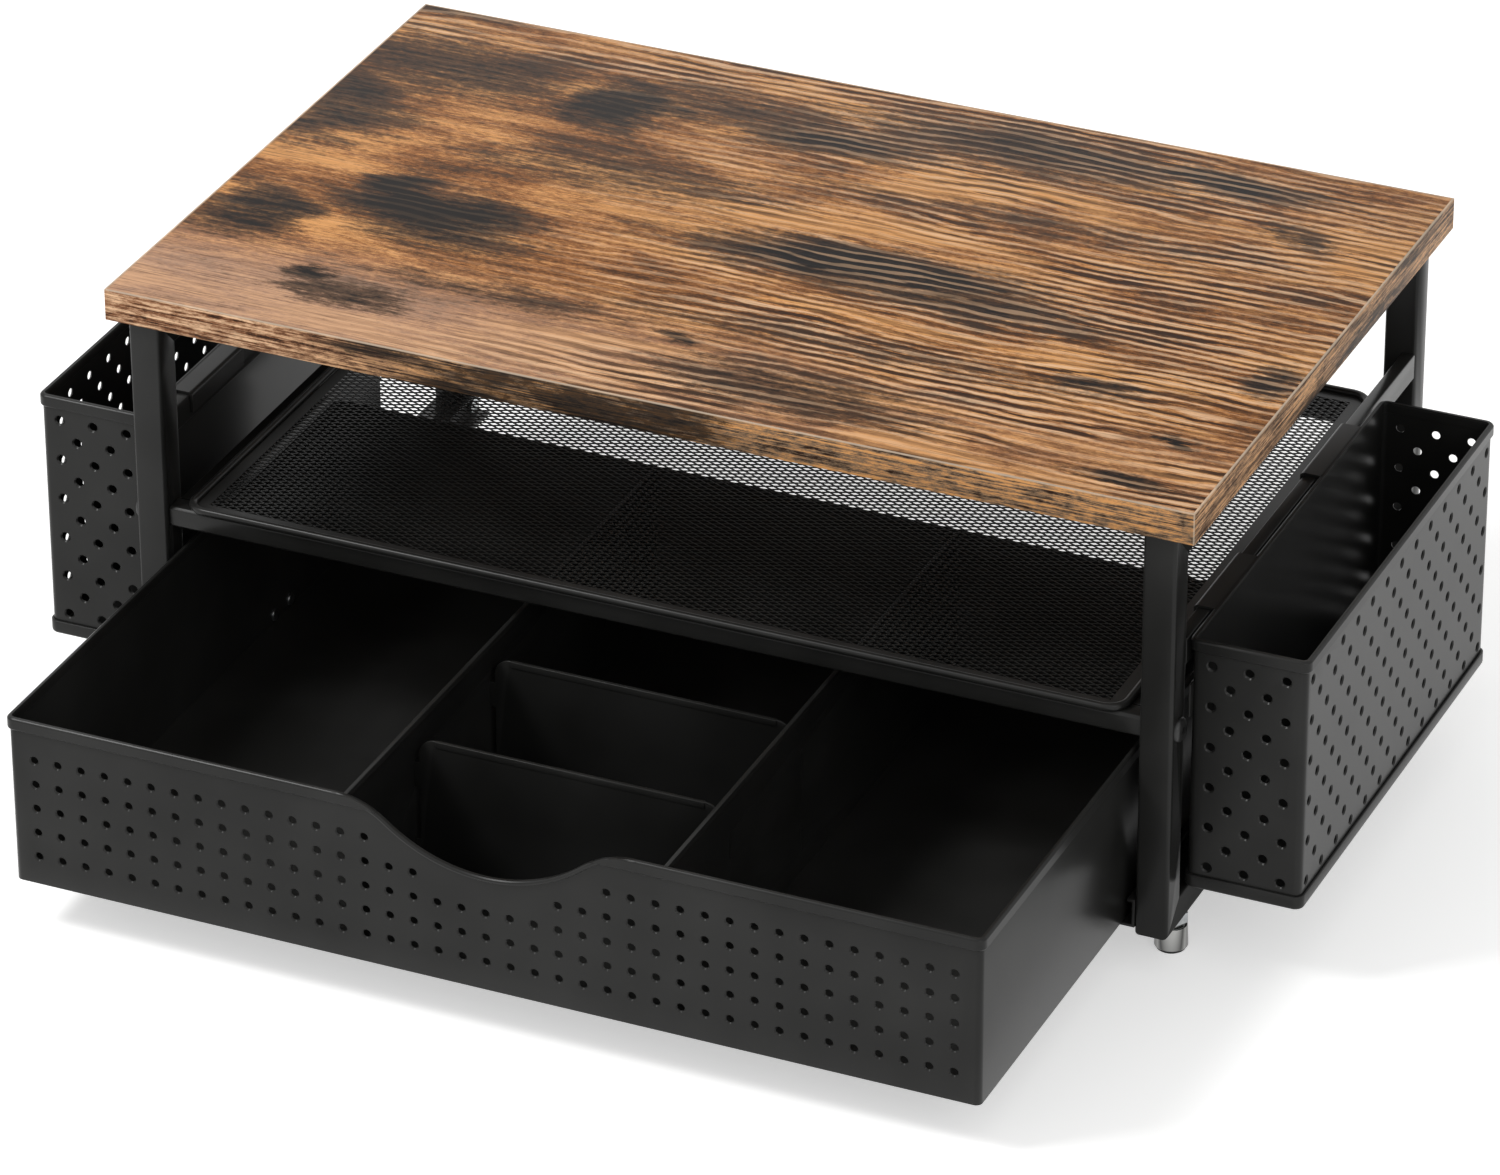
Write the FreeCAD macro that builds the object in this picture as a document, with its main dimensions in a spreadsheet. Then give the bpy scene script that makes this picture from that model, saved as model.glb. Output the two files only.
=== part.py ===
import FreeCAD, Part
import math
import os
import Sketcher
from types import SimpleNamespace

# Monitor riser with a drawer, a mesh shelf and two hanging pen holders.
# Millimetres. X is the width, -Y the front, Z up from the desk.
# The drawer stands open as far as drawer_open says.

# Driving dimensions
SIZES = {
    # Board
    "riser_height": 231,
    "board_width": 510,
    "board_depth": 320,
    "board_thickness": 15,
    "band_thickness": 1,
    # Side frames of square tube
    "tube_size": 15,
    "tube_wall": 1.2,
    "frame_end_inset": 9,
    "frame_front_inset": 4,
    "rail_clearance": 19,
    # Feet
    "foot_setback": 25.5,
    "foot_base_diameter": 15,
    "foot_top_diameter": 13.9,
    "foot_disc_top": 12.4,
    "foot_sides": 20,
    "stem_sides": 8,
    "foot_neck_diameter": 10,
    "foot_stem_diameter": 8,
    "foot_stem_reach": 12,
    "foot_pad_height": 1.5,
    "foot_pad_diameter": 13,
    "nut_height": 5,
    "nut_across_flats": 13,
    # Shelf
    "shelf_bar_size": 10,
    "shelf_bar_ease": 1.2,
    "shelf_bar_wall": 1,
    "shelf_bar_plug": 12,
    "shelf_bar_setback": 2.4,
    "shelf_top": 124.8,
    "shelf_bead_diameter": 3.5,
    "shelf_bead_radius": 9,
    "shelf_bead_ease": 1,
    "shelf_bead_overhang": 2.4,
    "shelf_side_gap": 9,
    "mesh_sheet": 1,
    "mesh_border": 6,
    "mesh_columns": 7,
    "mesh_rows": 5,
    "mesh_strand": 6,
    # Hanger bars for the holders
    "hanger_thickness": 6,
    "hanger_height": 12,
    # Fasteners
    "bore_sides": 6,
    "head_sides": 12,
    "bolt_head_diameter": 11,
    "bolt_head_height": 2.5,
    "bolt_diameter": 5,
    "screw_head_diameter": 8,
    "screw_head_height": 1.6,
    "screw_diameter": 3.6,
    "screw_bite": 8,
    "board_screw_bite": 10,
    "hole_clearance": 0.2,
    # Runners
    "runner_bottom": 22,
    "runner_height": 13.6,
    "runner_sheet": 1.2,
    "runner_lower_lip": 7,
    "runner_upper_lip": 3.5,
    "stop_setback": 16,
    "stop_height": 6,
    "stop_thickness": 2,
    # Drawer
    "drawer_open": 156,
    "drawer_travel": 216,
    "drawer_side_gap": 5.5,
    "drawer_depth": 318,
    "drawer_height": 81,
    "drawer_sheet": 1,
    "drawer_corner": 3,
    "drawer_return": 4,
    "drawer_hem": 6,
    "drawer_hem_proud": 1.2,
    "slide_clearance": 0.5,
    "glide_clearance": 0.3,
    "glide_length": 30,
    "rivet_diameter": 3,
    "rivet_head_diameter": 6,
    "rivet_head_height": 1,
    "rivet_spacing": 16,
    # Finger scoop of the drawer front
    "scoop_half_width": 70,
    "scoop_depth": 25,
    "scoop_bottom_radius": 71,
    # Perforation of the drawer front
    "front_hole_diameter": 3.4,
    "front_hole_pitch": 11.24,
    "front_hole_columns": 39,
    "front_row_pitch": 11.95,
    "front_rows": 5,
    "front_row_drop": 19.4,
    "front_scoop_margin": 3,
    # Dividers
    "left_divider_x": -65,
    "right_divider_x": 83,
    "divider_sheet": 1,
    "divider_bead": 1.8,
    "divider_bead_height": 3,
    "divider_drop": 0.8,
    "cross_drop": 7.3,
    "cross_end_gap": 2.5,
    "cross_corner": 8,
    "cross_front_setback": 67,
    "cross_rear_setback": 142,
    "tab_height": 12,
    "tab_low": 10,
    "tab_high": 48,
    "tab_clearance": 0.3,
    # Pen holders
    "holder_gap": 1.3,
    "holder_width": 54.2,
    "holder_depth": 235.6,
    "holder_height": 121.5,
    "holder_bottom": 39.5,
    "holder_setback": 17.3,
    "holder_sheet": 1,
    "holder_corner": 3.2,
    "holder_return": 4,
    "holder_hem": 6,
    "holder_hem_proud": 1.2,
    "pan_lip": 6.5,
    "hook_sheet": 1.2,
    "hook_depth": 10,
    "hook_length": 50,
    "hook_setback": 28.7,
    "hook_clearance": 0.3,
    "ear_reach": 3,
    "ear_height": 15.6,
    "ear_drop": 21,
    # Perforation of the pen holders
    "holder_hole_diameter": 4,
    "holder_hole_pitch": 8.35,
    "holder_row_pitch": 9.86,
    "holder_rows": 11,
    "holder_row_drop": 11.8,
}

doc = FreeCAD.newDocument("MonitorRiser")
sheet = doc.addObject("Spreadsheet::Sheet", "Sizes")
for row, (alias, number) in enumerate(SIZES.items(), 1):
    sheet.set("A%d" % row, alias)
    sheet.set("B%d" % row, str(number))
    sheet.setAlias("B%d" % row, alias)
doc.recompute()


class Size:
    """A length that knows its value and the sheet expression that gives it."""

    def __init__(self, text, value):
        self.text = text
        self.value = value

    def joined(self, sign, other, value, swapped=False):
        parts = (as_size(other).text, self.text) if swapped else (self.text, as_size(other).text)
        return Size("(%s %s %s)" % (parts[0], sign, parts[1]), value)

    def __add__(self, other):
        return self.joined("+", other, self.value + as_size(other).value)

    def __radd__(self, other):
        return self.joined("+", other, as_size(other).value + self.value, True)

    def __sub__(self, other):
        return self.joined("-", other, self.value - as_size(other).value)

    def __rsub__(self, other):
        return self.joined("-", other, as_size(other).value - self.value, True)

    def __mul__(self, other):
        return self.joined("*", other, self.value * as_size(other).value)

    def __rmul__(self, other):
        return self.joined("*", other, as_size(other).value * self.value, True)

    def __truediv__(self, other):
        return self.joined("/", other, self.value / as_size(other).value)

    def __neg__(self):
        return self * -1


def as_size(number):
    if isinstance(number, Size):
        return number
    return Size("(%r)" % number if number < 0 else "%r" % number, number)


d = SimpleNamespace(**{name: Size("Sizes." + name, number) for name, number in SIZES.items()})
NODES = []


def keep(thing, label):
    """Names a finished piece."""
    thing.Label = label
    NODES.append(thing)
    return thing


# Sketches and features

def body_at(name, x=0, y=0, z=0, turn=0):
    """A body placed at x, y, z and turned about Z by some degrees."""
    body = doc.addObject("PartDesign::Body", name)
    body.Placement.Rotation = FreeCAD.Rotation(FreeCAD.Vector(0, 0, 1), turn)
    place(body, x, y, z)
    return body


def place(thing, x, y, z):
    for axis, size in zip("xyz", (x, y, z)):
        thing.setExpression("Placement.Base." + axis, as_size(size).text)


def sketch_on(body, role, offset=0):
    """A sketch on one of the body's own origin planes, moved along its normal."""
    sketch = body.newObject("Sketcher::SketchObject", body.Name + "Sketch")
    own_plane = [o for o in body.Origin.OriginFeatures if o.Role == role][0]
    sketch.AttachmentSupport = [(own_plane, "")]
    sketch.MapMode = "FlatFace"
    sketch.setExpression("AttachmentOffset.Base.z", as_size(offset).text)
    return sketch


def bind(sketch, constraint, size):
    """Adds a dimension that the sheet drives."""
    number = sketch.addConstraint(constraint)
    sketch.setExpression("Constraints[%d]" % number, as_size(size).text)


def arc_centre(start, end, radius, turn):
    """Centre of the shorter arc from start to end, anticlockwise for turn 1."""
    chord = end - start
    half = chord.Length / 2
    rise = math.sqrt(max(radius * radius - half * half, 0))
    left = FreeCAD.Vector(-chord.y, chord.x, 0).normalize()
    return (start + end) / 2 + left * rise * turn


def closed(sketch, corners):
    """A closed outline. A corner is (u, v), or (u, v, radius, turn) where an arc starts."""
    corners = [tuple(as_size(c) for c in corner[:3]) + tuple(corner[3:]) for corner in corners]
    points = [FreeCAD.Vector(c[0].value, c[1].value, 0) for c in corners]
    ends = []
    for number, corner in enumerate(corners):
        start = points[number]
        end = points[(number + 1) % len(points)]
        if len(corner) == 2:
            ends.append((sketch.addGeometry(Part.LineSegment(start, end), False), 1, 2))
            continue
        centre = arc_centre(start, end, corner[2].value, corner[3])
        first, last = (start, end) if corner[3] > 0 else (end, start)
        angles = [math.atan2(p.y - centre.y, p.x - centre.x) for p in (first, last)]
        if angles[1] < angles[0]:
            angles[1] += 2 * math.pi
        circle = Part.Circle(centre, FreeCAD.Vector(0, 0, 1), corner[2].value)
        arc = sketch.addGeometry(Part.ArcOfCircle(circle, angles[0], angles[1]), False)
        ends.append((arc, 1, 2) if corner[3] > 0 else (arc, 2, 1))
    for number, corner in enumerate(corners):
        piece, start, end = ends[number]
        after, after_start, _ = ends[(number + 1) % len(ends)]
        sketch.addConstraint(Sketcher.Constraint("Coincident", piece, end, after, after_start))
        bind(sketch, Sketcher.Constraint("DistanceX", -1, 1, piece, start, corner[0].value), corner[0])
        bind(sketch, Sketcher.Constraint("DistanceY", -1, 1, piece, start, corner[1].value), corner[1])
        if len(corner) > 2:
            bind(sketch, Sketcher.Constraint("Radius", piece, corner[2].value), corner[2])


def ring(diameter, sides):
    """Corners of a regular polygon, evenly spaced on a circle of the diameter."""
    turns = [2 * math.pi * number / sides for number in range(sides)]
    reach = as_size(diameter) / 2
    return [(reach * round(math.cos(turn), 9), reach * round(math.sin(turn), 9)) for turn in turns]


def clearing(diameter, sides):
    """Distance across the corners of a polygon that a round bar of the diameter just passes."""
    return as_size(diameter) / math.cos(math.pi / sides)


def drill(sketch, u, v, diameter):
    """A fastener's clearance hole with few sides, which clears a round shank of the diameter."""
    sides = SIZES["bore_sides"]
    closed(sketch, [(u + du, v + dv) for du, dv in ring(clearing(diameter, sides), sides)])


def rectangle(sketch, u0, v0, u1, v1):
    closed(sketch, [(u0, v0), (u1, v0), (u1, v1), (u0, v1)])


def rounded(sketch, u0, v0, u1, v1, radius):
    """A rectangle with round corners, u0 < u1 and v0 < v1."""
    closed(sketch, [
        (u0 + radius, v0), (u1 - radius, v0, radius, 1),
        (u1, v0 + radius), (u1, v1 - radius, radius, 1),
        (u1 - radius, v1), (u0 + radius, v1, radius, 1),
        (u0, v1 - radius), (u0, v0 + radius, radius, 1),
    ])


def eased(sketch, u0, v0, u1, v1, ease):
    """A rectangle with its corners cut off, u0 < u1 and v0 < v1."""
    closed(sketch, [
        (u0 + ease, v0), (u1 - ease, v0), (u1, v0 + ease), (u1, v1 - ease),
        (u1 - ease, v1), (u0 + ease, v1), (u0, v1 - ease), (u0, v0 + ease),
    ])


def pad(body, sketch, length, reverse=False, symmetric=False):
    feature = body.newObject("PartDesign::Pad", body.Name + "Pad")
    feature.Profile = sketch
    feature.setExpression("Length", as_size(length).text)
    feature.Reversed = reverse
    feature.SideType = "Symmetric" if symmetric else "One side"
    doc.recompute()
    return feature


def pocket(body, sketch, length=None, reverse=False, symmetric=False):
    """Cuts a sketch out of the body, right through where no length is given."""
    before = body.Shape.Volume
    feature = body.newObject("PartDesign::Pocket", body.Name + "Pocket")
    feature.Profile = sketch
    feature.Reversed = reverse
    feature.SideType = "Symmetric" if symmetric or length is None else "One side"
    if length is None:
        feature.Type = "ThroughAll"
    else:
        feature.setExpression("Length", as_size(length).text)
    doc.recompute()
    if body.Shape.Volume > before - 1e-6:
        raise RuntimeError(feature.Name + " cuts nothing")
    return feature


# Primitives

def box(name, x0, y0, z0, x1, y1, z1):
    """A box between two corners."""
    thing = doc.addObject("Part::Box", name)
    for side, low, high in (("Length", x0, x1), ("Width", y0, y1), ("Height", z0, z1)):
        thing.setExpression(side, (as_size(high) - low).text)
    place(thing, x0, y0, z0)
    return thing


AXES = {
    "+x": FreeCAD.Vector(1, 0, 0),
    "-x": FreeCAD.Vector(-1, 0, 0),
    "+z": FreeCAD.Vector(0, 0, 1),
}


def prism(name, x, y, z, axis, diameter, length, sides):
    """A bar with a regular outline, diameter across its corners, that starts at x, y, z."""
    thing = doc.addObject("Part::Prism", name)
    thing.Polygon = sides
    thing.Placement.Rotation = FreeCAD.Rotation(FreeCAD.Vector(0, 0, 1), AXES[axis])
    thing.setExpression("Circumradius", (as_size(diameter) / 2).text)
    thing.setExpression("Height", as_size(length).text)
    place(thing, x, y, z)
    return thing


def fuse(name, pieces):
    thing = doc.addObject("Part::MultiFuse", name)
    thing.Shapes = pieces
    thing.Refine = True
    return thing


def cut(name, base, tool):
    thing = doc.addObject("Part::Cut", name)
    thing.Base = base
    thing.Tool = tool
    return thing


def group(name, pieces):
    thing = doc.addObject("Part::Compound", name)
    thing.Links = pieces
    return thing


def perforated(base, holes, across, diameter, sides, direction, start, depth):
    """Cuts straight many-sided holes through a sheet. across holds the two directions of the face."""
    prisms = []
    for u, v in holes:
        corners = []
        for number in range(sides + 1):
            angle = 2 * math.pi * (number + 0.5) / sides
            reach_u = across[0] * (u + diameter / 2 * math.cos(angle))
            reach_v = across[1] * (v + diameter / 2 * math.sin(angle))
            corners.append(reach_u + reach_v + direction * start)
        prisms.append(Part.Face(Part.makePolygon(corners)).extrude(direction * depth))
    tools = doc.addObject("Part::Feature", base.Name + "Holes")
    tools.Shape = Part.makeCompound(prisms)
    return cut(base.Name + "Perforated", base, tools)


SIDES = (("left", -1), ("right", 1))
ENDS = (("front", -1), ("rear", 1))
UNIT_X = FreeCAD.Vector(1, 0, 0)
UNIT_Y = FreeCAD.Vector(0, 1, 0)
UNIT_Z = FreeCAD.Vector(0, 0, 1)

# Places worked out from the driving dimensions

board_rear = (d.board_depth + d.drawer_open) / 2
board_front = board_rear - d.board_depth
board_middle = (board_rear + board_front) / 2
board_underside = d.riser_height - d.board_thickness
frame_outer = d.board_width / 2 - d.frame_end_inset
frame_inner = frame_outer - d.tube_size
frame_middle = frame_outer - d.tube_size / 2
frame_front = board_front + d.frame_front_inset
frame_rear = board_rear - d.frame_front_inset
frame_half_depth = (frame_rear - frame_front) / 2
leg_reach = frame_half_depth - d.tube_size / 2
foot_reach = frame_half_depth - d.foot_setback
bar_reach = frame_half_depth - d.shelf_bar_setback - d.shelf_bar_size / 2
bar_middle_z = d.shelf_top - d.shelf_bar_size / 2
runner_middle_z = d.runner_bottom + d.runner_height / 2
drawer_face = board_front - d.drawer_open
drawer_bottom = d.runner_bottom + d.runner_sheet + d.slide_clearance
drawer_half = frame_inner - d.drawer_side_gap
drawer_wall_front = drawer_face + d.drawer_hem_proud
drawer_wall_rear = drawer_face + d.drawer_depth - d.drawer_hem_proud
floor_top = drawer_bottom + d.drawer_sheet
holder_inner = frame_outer + d.holder_gap + d.holder_hem_proud
holder_half = d.holder_width / 2 - d.holder_hem_proud
holder_middle = holder_inner + holder_half
holder_wall_front = board_front + d.holder_setback + d.holder_hem_proud
holder_wall_rear = board_front + d.holder_setback + d.holder_depth - d.holder_hem_proud
holder_top = d.holder_bottom + d.holder_height
holder_floor = d.holder_bottom + d.holder_sheet
screw_rows = (-1, 0, 1)


def board():
    """The panel with its pilot holes and the four edge bands."""
    core_x = d.board_width / 2 - d.band_thickness
    core_y = d.board_depth / 2 - d.band_thickness
    body = body_at("TopBoard", 0, board_middle, board_underside)
    outline = sketch_on(body, "XY_Plane")
    rectangle(outline, -core_x, -core_y, core_x, core_y)
    pad(body, outline, d.board_thickness)
    pilots = sketch_on(body, "XY_Plane")
    for _, side in SIDES:
        for row in screw_rows:
            drill(pilots, frame_middle * side, foot_reach * row, d.screw_diameter + 2 * d.hole_clearance)
    pocket(body, pilots, d.board_screw_bite + d.hole_clearance, reverse=True)
    keep(body, "top_board")
    for name, end in ENDS:
        edge = board_middle + d.board_depth / 2 * end
        inner = edge - d.band_thickness * end
        low, high = (edge, inner) if end < 0 else (inner, edge)
        half = d.board_width / 2
        band = box(name + "Band", -half, low, board_underside, half, high, d.riser_height)
        keep(band, name + "_edge_band")
    for name, side in SIDES:
        low, high = (-d.board_width / 2, -core_x) if side < 0 else (core_x, d.board_width / 2)
        front = board_middle - core_y
        band = box(name + "Band", low, front, board_underside, high, board_middle + core_y, d.riser_height)
        keep(band, name + "_edge_band")


def tube(name, label, side, outline, bore):
    """A mitred square tube of one side frame, drawn as seen from the side."""
    body = body_at(name, frame_middle * side, board_middle, 0)
    profile = sketch_on(body, "YZ_Plane")
    closed(profile, outline)
    pad(body, profile, d.tube_size, symmetric=True)
    hollow = sketch_on(body, "YZ_Plane")
    rectangle(hollow, *bore)
    pocket(body, hollow, d.tube_size - 2 * d.tube_wall, symmetric=True)
    keep(body, label)
    return body


def legs():
    """Front and rear legs with the holes for the shelf bolts and the runner screws."""
    low = d.rail_clearance
    high = board_underside
    for side_name, side in SIDES:
        for end_name, end in ENDS:
            outer = frame_half_depth * end
            inner = outer - d.tube_size * end
            outline = [(outer, low), (inner, low + d.tube_size), (inner, high - d.tube_size), (outer, high)]
            wall = d.tube_wall * end
            bore = (inner + wall, low, outer - wall, high)
            name = side_name.capitalize() + end_name.capitalize() + "Leg"
            body = tube(name, "%s_%s_leg" % (side_name, end_name), side, outline, bore)
            bolt = sketch_on(body, "YZ_Plane")
            drill(bolt, bar_reach * end, bar_middle_z, d.bolt_diameter + 2 * d.hole_clearance)
            pocket(body, bolt)
            screw = sketch_on(body, "YZ_Plane")
            drill(screw, leg_reach * end, runner_middle_z, d.screw_diameter + 2 * d.hole_clearance)
            pocket(body, screw, d.tube_size, reverse=side < 0)


def rails():
    """Bottom rails with the holes for the feet, top rails with the holes for the board screws."""
    half = frame_half_depth
    short = half - d.tube_size
    for side_name, side in SIDES:
        low = d.rail_clearance
        inner = low + d.tube_size
        outline = [(-half, low), (half, low), (short, inner), (-short, inner)]
        bore = (-half, low + d.tube_wall, half, inner - d.tube_wall)
        name = side_name.capitalize() + "BottomRail"
        body = tube(name, side_name + "_bottom_rail", side, outline, bore)
        stems = sketch_on(body, "XY_Plane", low + d.tube_size / 2)
        for _, end in ENDS:
            drill(stems, 0, foot_reach * end, d.foot_stem_diameter + 4 * d.hole_clearance)
        pocket(body, stems, d.tube_size)
        high = board_underside
        inner = high - d.tube_size
        outline = [(-half, high), (-short, inner), (short, inner), (half, high)]
        bore = (-half, inner + d.tube_wall, half, high - d.tube_wall)
        name = side_name.capitalize() + "TopRail"
        body = tube(name, side_name + "_top_rail", side, outline, bore)
        screws = sketch_on(body, "XY_Plane", inner + d.tube_size / 2)
        for row in screw_rows:
            drill(screws, 0, foot_reach * row, d.screw_diameter + 2 * d.hole_clearance)
        pocket(body, screws)


def hanger_bars():
    """Flat bars between the legs that the pen holders hook over."""
    top = holder_top - d.hook_sheet - d.hook_clearance
    front = frame_front + d.tube_size
    rear = frame_rear - d.tube_size
    for name, side in SIDES:
        low, high = frame_outer - d.hanger_thickness, frame_outer
        if side < 0:
            low, high = -high, -low
        bar = box(name + "Hanger", low, front, top - d.hanger_height, high, rear, top)
        keep(bar, name + "_hanger_bar")


def shelf_bars():
    """Square bars round the shelf. The cross bars have threaded plugs in their ends."""
    half = d.shelf_bar_size / 2
    inside = half - d.shelf_bar_wall
    for name, end in ENDS:
        body = body_at(name.capitalize() + "ShelfBar", 0, board_middle + bar_reach * end, bar_middle_z)
        section = sketch_on(body, "YZ_Plane")
        eased(section, -half, -half, half, half, d.shelf_bar_ease)
        pad(body, section, 2 * frame_inner, symmetric=True)
        hollow = sketch_on(body, "YZ_Plane")
        rectangle(hollow, -inside, -inside, inside, inside)
        pocket(body, hollow, 2 * (frame_inner - d.shelf_bar_plug), symmetric=True)
        thread = sketch_on(body, "YZ_Plane")
        drill(thread, 0, 0, d.bolt_diameter + 2 * d.hole_clearance)
        pocket(body, thread)
        keep(body, "shelf_%s_bar" % name)
    for name, side in SIDES:
        body = body_at(name + "ShelfBar", (frame_inner - half) * side, board_middle, bar_middle_z)
        section = sketch_on(body, "XZ_Plane")
        eased(section, -half, -half, half, half, d.shelf_bar_ease)
        rectangle(section, -inside, -inside, inside, inside)
        pad(body, section, 2 * (bar_reach - half), symmetric=True)
        keep(body, name + "_shelf_bar")


def shelf_tray():
    """The mesh panel and the wire bead round it, lying on the bars."""
    radius = d.shelf_bead_diameter / 2
    reach_x = frame_inner - d.shelf_side_gap
    reach_y = bar_reach + d.shelf_bar_size / 2 + d.shelf_bead_overhang - radius
    rim = body_at("ShelfRim", 0, board_middle, d.shelf_top)
    plan = sketch_on(rim, "XY_Plane")
    for step in (radius, -radius):
        out_x = reach_x + step
        out_y = reach_y + step
        rounded(plan, -out_x, -out_y, out_x, out_y, d.shelf_bead_radius + step)
    bead = pad(rim, plan, d.shelf_bead_diameter)
    level = [n for n, e in enumerate(bead.Shape.Edges, 1) if e.BoundBox.ZLength < 0.001]
    easing = rim.newObject("PartDesign::Chamfer", "ShelfBeadEasing")
    easing.Base = (bead, ["Edge%d" % number for number in level])
    easing.setExpression("Size", d.shelf_bead_ease.text)
    doc.recompute()
    keep(rim, "shelf_rim")
    mesh = body_at("ShelfMesh", 0, board_middle, d.shelf_top)
    outline = sketch_on(mesh, "XY_Plane")
    edge_x = reach_x - radius
    edge_y = reach_y - radius
    rounded(outline, -edge_x, -edge_y, edge_x, edge_y, d.shelf_bead_radius - radius)
    pad(mesh, outline, d.mesh_sheet)
    keep(expanded(mesh, edge_x.value, edge_y.value), "shelf_mesh")


def expanded(panel, edge_x, edge_y):
    """Cuts staggered diamonds out of a flat panel, as in expanded metal."""
    field_x = 2 * (edge_x - SIZES["mesh_border"])
    field_y = 2 * (edge_y - SIZES["mesh_border"])
    pitch_x = field_x / SIZES["mesh_columns"]
    pitch_y = field_y / SIZES["mesh_rows"]
    strand = SIZES["mesh_strand"]
    half_x = pitch_x / 2 - strand
    half_y = pitch_y / 2 - strand * pitch_y / pitch_x
    diamonds = []
    for column in range(2 * SIZES["mesh_columns"] - 1):
        for row in range(SIZES["mesh_rows"] - column % 2):
            x = -field_x / 2 + pitch_x / 2 * (column + 1)
            y = -field_y / 2 + pitch_y * (row + 0.5 + column % 2 / 2)
            points = [(x - half_x, y), (x, y - half_y), (x + half_x, y), (x, y + half_y), (x - half_x, y)]
            outline = Part.makePolygon([FreeCAD.Vector(px, py, -1) for px, py in points])
            diamonds.append(Part.Face(outline).extrude(UNIT_Z * (SIZES["mesh_sheet"] + 2)))
    tools = doc.addObject("Part::Feature", "MeshGaps")
    tools.Shape = Part.makeCompound(diamonds)
    tools.Placement = panel.Placement
    return cut("ExpandedMesh", panel, tools)


def runners():
    """C channels on the legs' inner faces, with a stop tab at each end of the glide's way."""
    sheet_t = d.runner_sheet
    low = d.runner_bottom
    high = low + d.runner_height
    length = 2 * frame_half_depth
    tab_low = low + d.runner_height / 2 - d.stop_height / 2
    for name, side in SIDES:
        body = body_at(name.capitalize() + "Runner", 0, frame_front, 0)
        section = sketch_on(body, "XZ_Plane")
        web = frame_inner * side
        face = (frame_inner - sheet_t) * side
        closed(section, [
            (web, low), ((frame_inner - d.runner_lower_lip) * side, low),
            ((frame_inner - d.runner_lower_lip) * side, low + sheet_t), (face, low + sheet_t),
            (face, high - sheet_t), ((frame_inner - d.runner_upper_lip) * side, high - sheet_t),
            ((frame_inner - d.runner_upper_lip) * side, high), (web, high),
        ])
        pad(body, section, length, reverse=True)
        tab_tip = (drawer_half + 2 * d.glide_clearance) * side
        tabs = sketch_on(body, "XY_Plane", tab_low)
        rectangle(tabs, face, d.stop_setback, tab_tip, d.stop_setback + d.stop_thickness)
        rear = glide_front() + d.glide_length + d.glide_clearance - d.frame_front_inset
        rectangle(tabs, face, rear, tab_tip, rear + d.stop_thickness)
        pad(body, tabs, d.stop_height)
        screws = sketch_on(body, "YZ_Plane")
        for spot in (d.tube_size / 2, length - d.tube_size / 2):
            drill(screws, spot, runner_middle_z, d.screw_diameter + 2 * d.hole_clearance)
        pocket(body, screws)
        keep(body, name + "_runner")


def glide_front():
    """Distance from the drawer's face to the front end of its glides."""
    stop = d.frame_front_inset + d.stop_setback + d.stop_thickness
    return stop + d.glide_clearance + d.drawer_travel


def screw(name, x, y, z, axis, head, shank):
    """A headed screw. It points along the axis, with its head behind the seat at x, y, z."""
    back = {"+x": "-x", "-x": "+x"}
    shaft = prism(name + "Shank", x, y, z, axis, shank[0], shank[1], SIZES["bore_sides"])
    head_z, head_axis = (z - head[1], axis) if axis == "+z" else (z, back[axis])
    cap = prism(name + "Head", x, y, head_z, head_axis, head[0], head[1], SIZES["head_sides"])
    return fuse(name, [cap, shaft])


def fasteners():
    """Shelf bolts, runner screws, board screws and the nuts welded over the feet."""
    bolts = []
    runner_screws = []
    board_screws = []
    nuts = []
    for side_name, side in SIDES:
        inward = "-x" if side > 0 else "+x"
        outward = "+x" if side > 0 else "-x"
        for end_name, end in ENDS:
            name = side_name + end_name
            seat = (frame_outer * side, board_middle + bar_reach * end, bar_middle_z)
            bolts.append(screw(name + "Bolt", *seat, inward, (d.bolt_head_diameter, d.bolt_head_height),
                               (d.bolt_diameter, d.tube_size + d.shelf_bar_plug)))
            seat = ((frame_inner - d.runner_sheet) * side, board_middle + leg_reach * end, runner_middle_z)
            runner_screws.append(screw(name + "RunnerScrew", *seat, outward,
                                       (d.screw_head_diameter, d.screw_head_height),
                                       (d.screw_diameter, d.screw_bite)))
            nuts.append(foot_nut(name, frame_middle * side, board_middle + foot_reach * end))
        for row in screw_rows:
            seat = (frame_middle * side, board_middle + foot_reach * row, board_underside - d.tube_size)
            board_screws.append(screw("%sBoardScrew%d" % (side_name, row + 1), *seat, "+z",
                                      (d.screw_head_diameter, d.screw_head_height),
                                      (d.screw_diameter, d.tube_size + d.board_screw_bite)))
    keep(group("ShelfBolts", bolts), "shelf_bolts")
    keep(group("RunnerScrews", runner_screws), "runner_screws")
    keep(group("BoardScrews", board_screws), "board_screws")
    keep(group("FootNuts", nuts), "foot_nuts")


def foot_nut(name, x, y):
    """A hexagon nut under the bottom rail."""
    low = d.rail_clearance - d.nut_height
    blank = prism(name + "NutBlank", x, y, low, "+z", clearing(d.nut_across_flats, 6), d.nut_height, 6)
    sides = SIZES["stem_sides"]
    width = clearing(d.foot_stem_diameter + 3 * d.hole_clearance, sides)
    return cut(name + "Nut", blank, prism(name + "NutBore", x, y, low, "+z", width, d.nut_height, sides))


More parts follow.
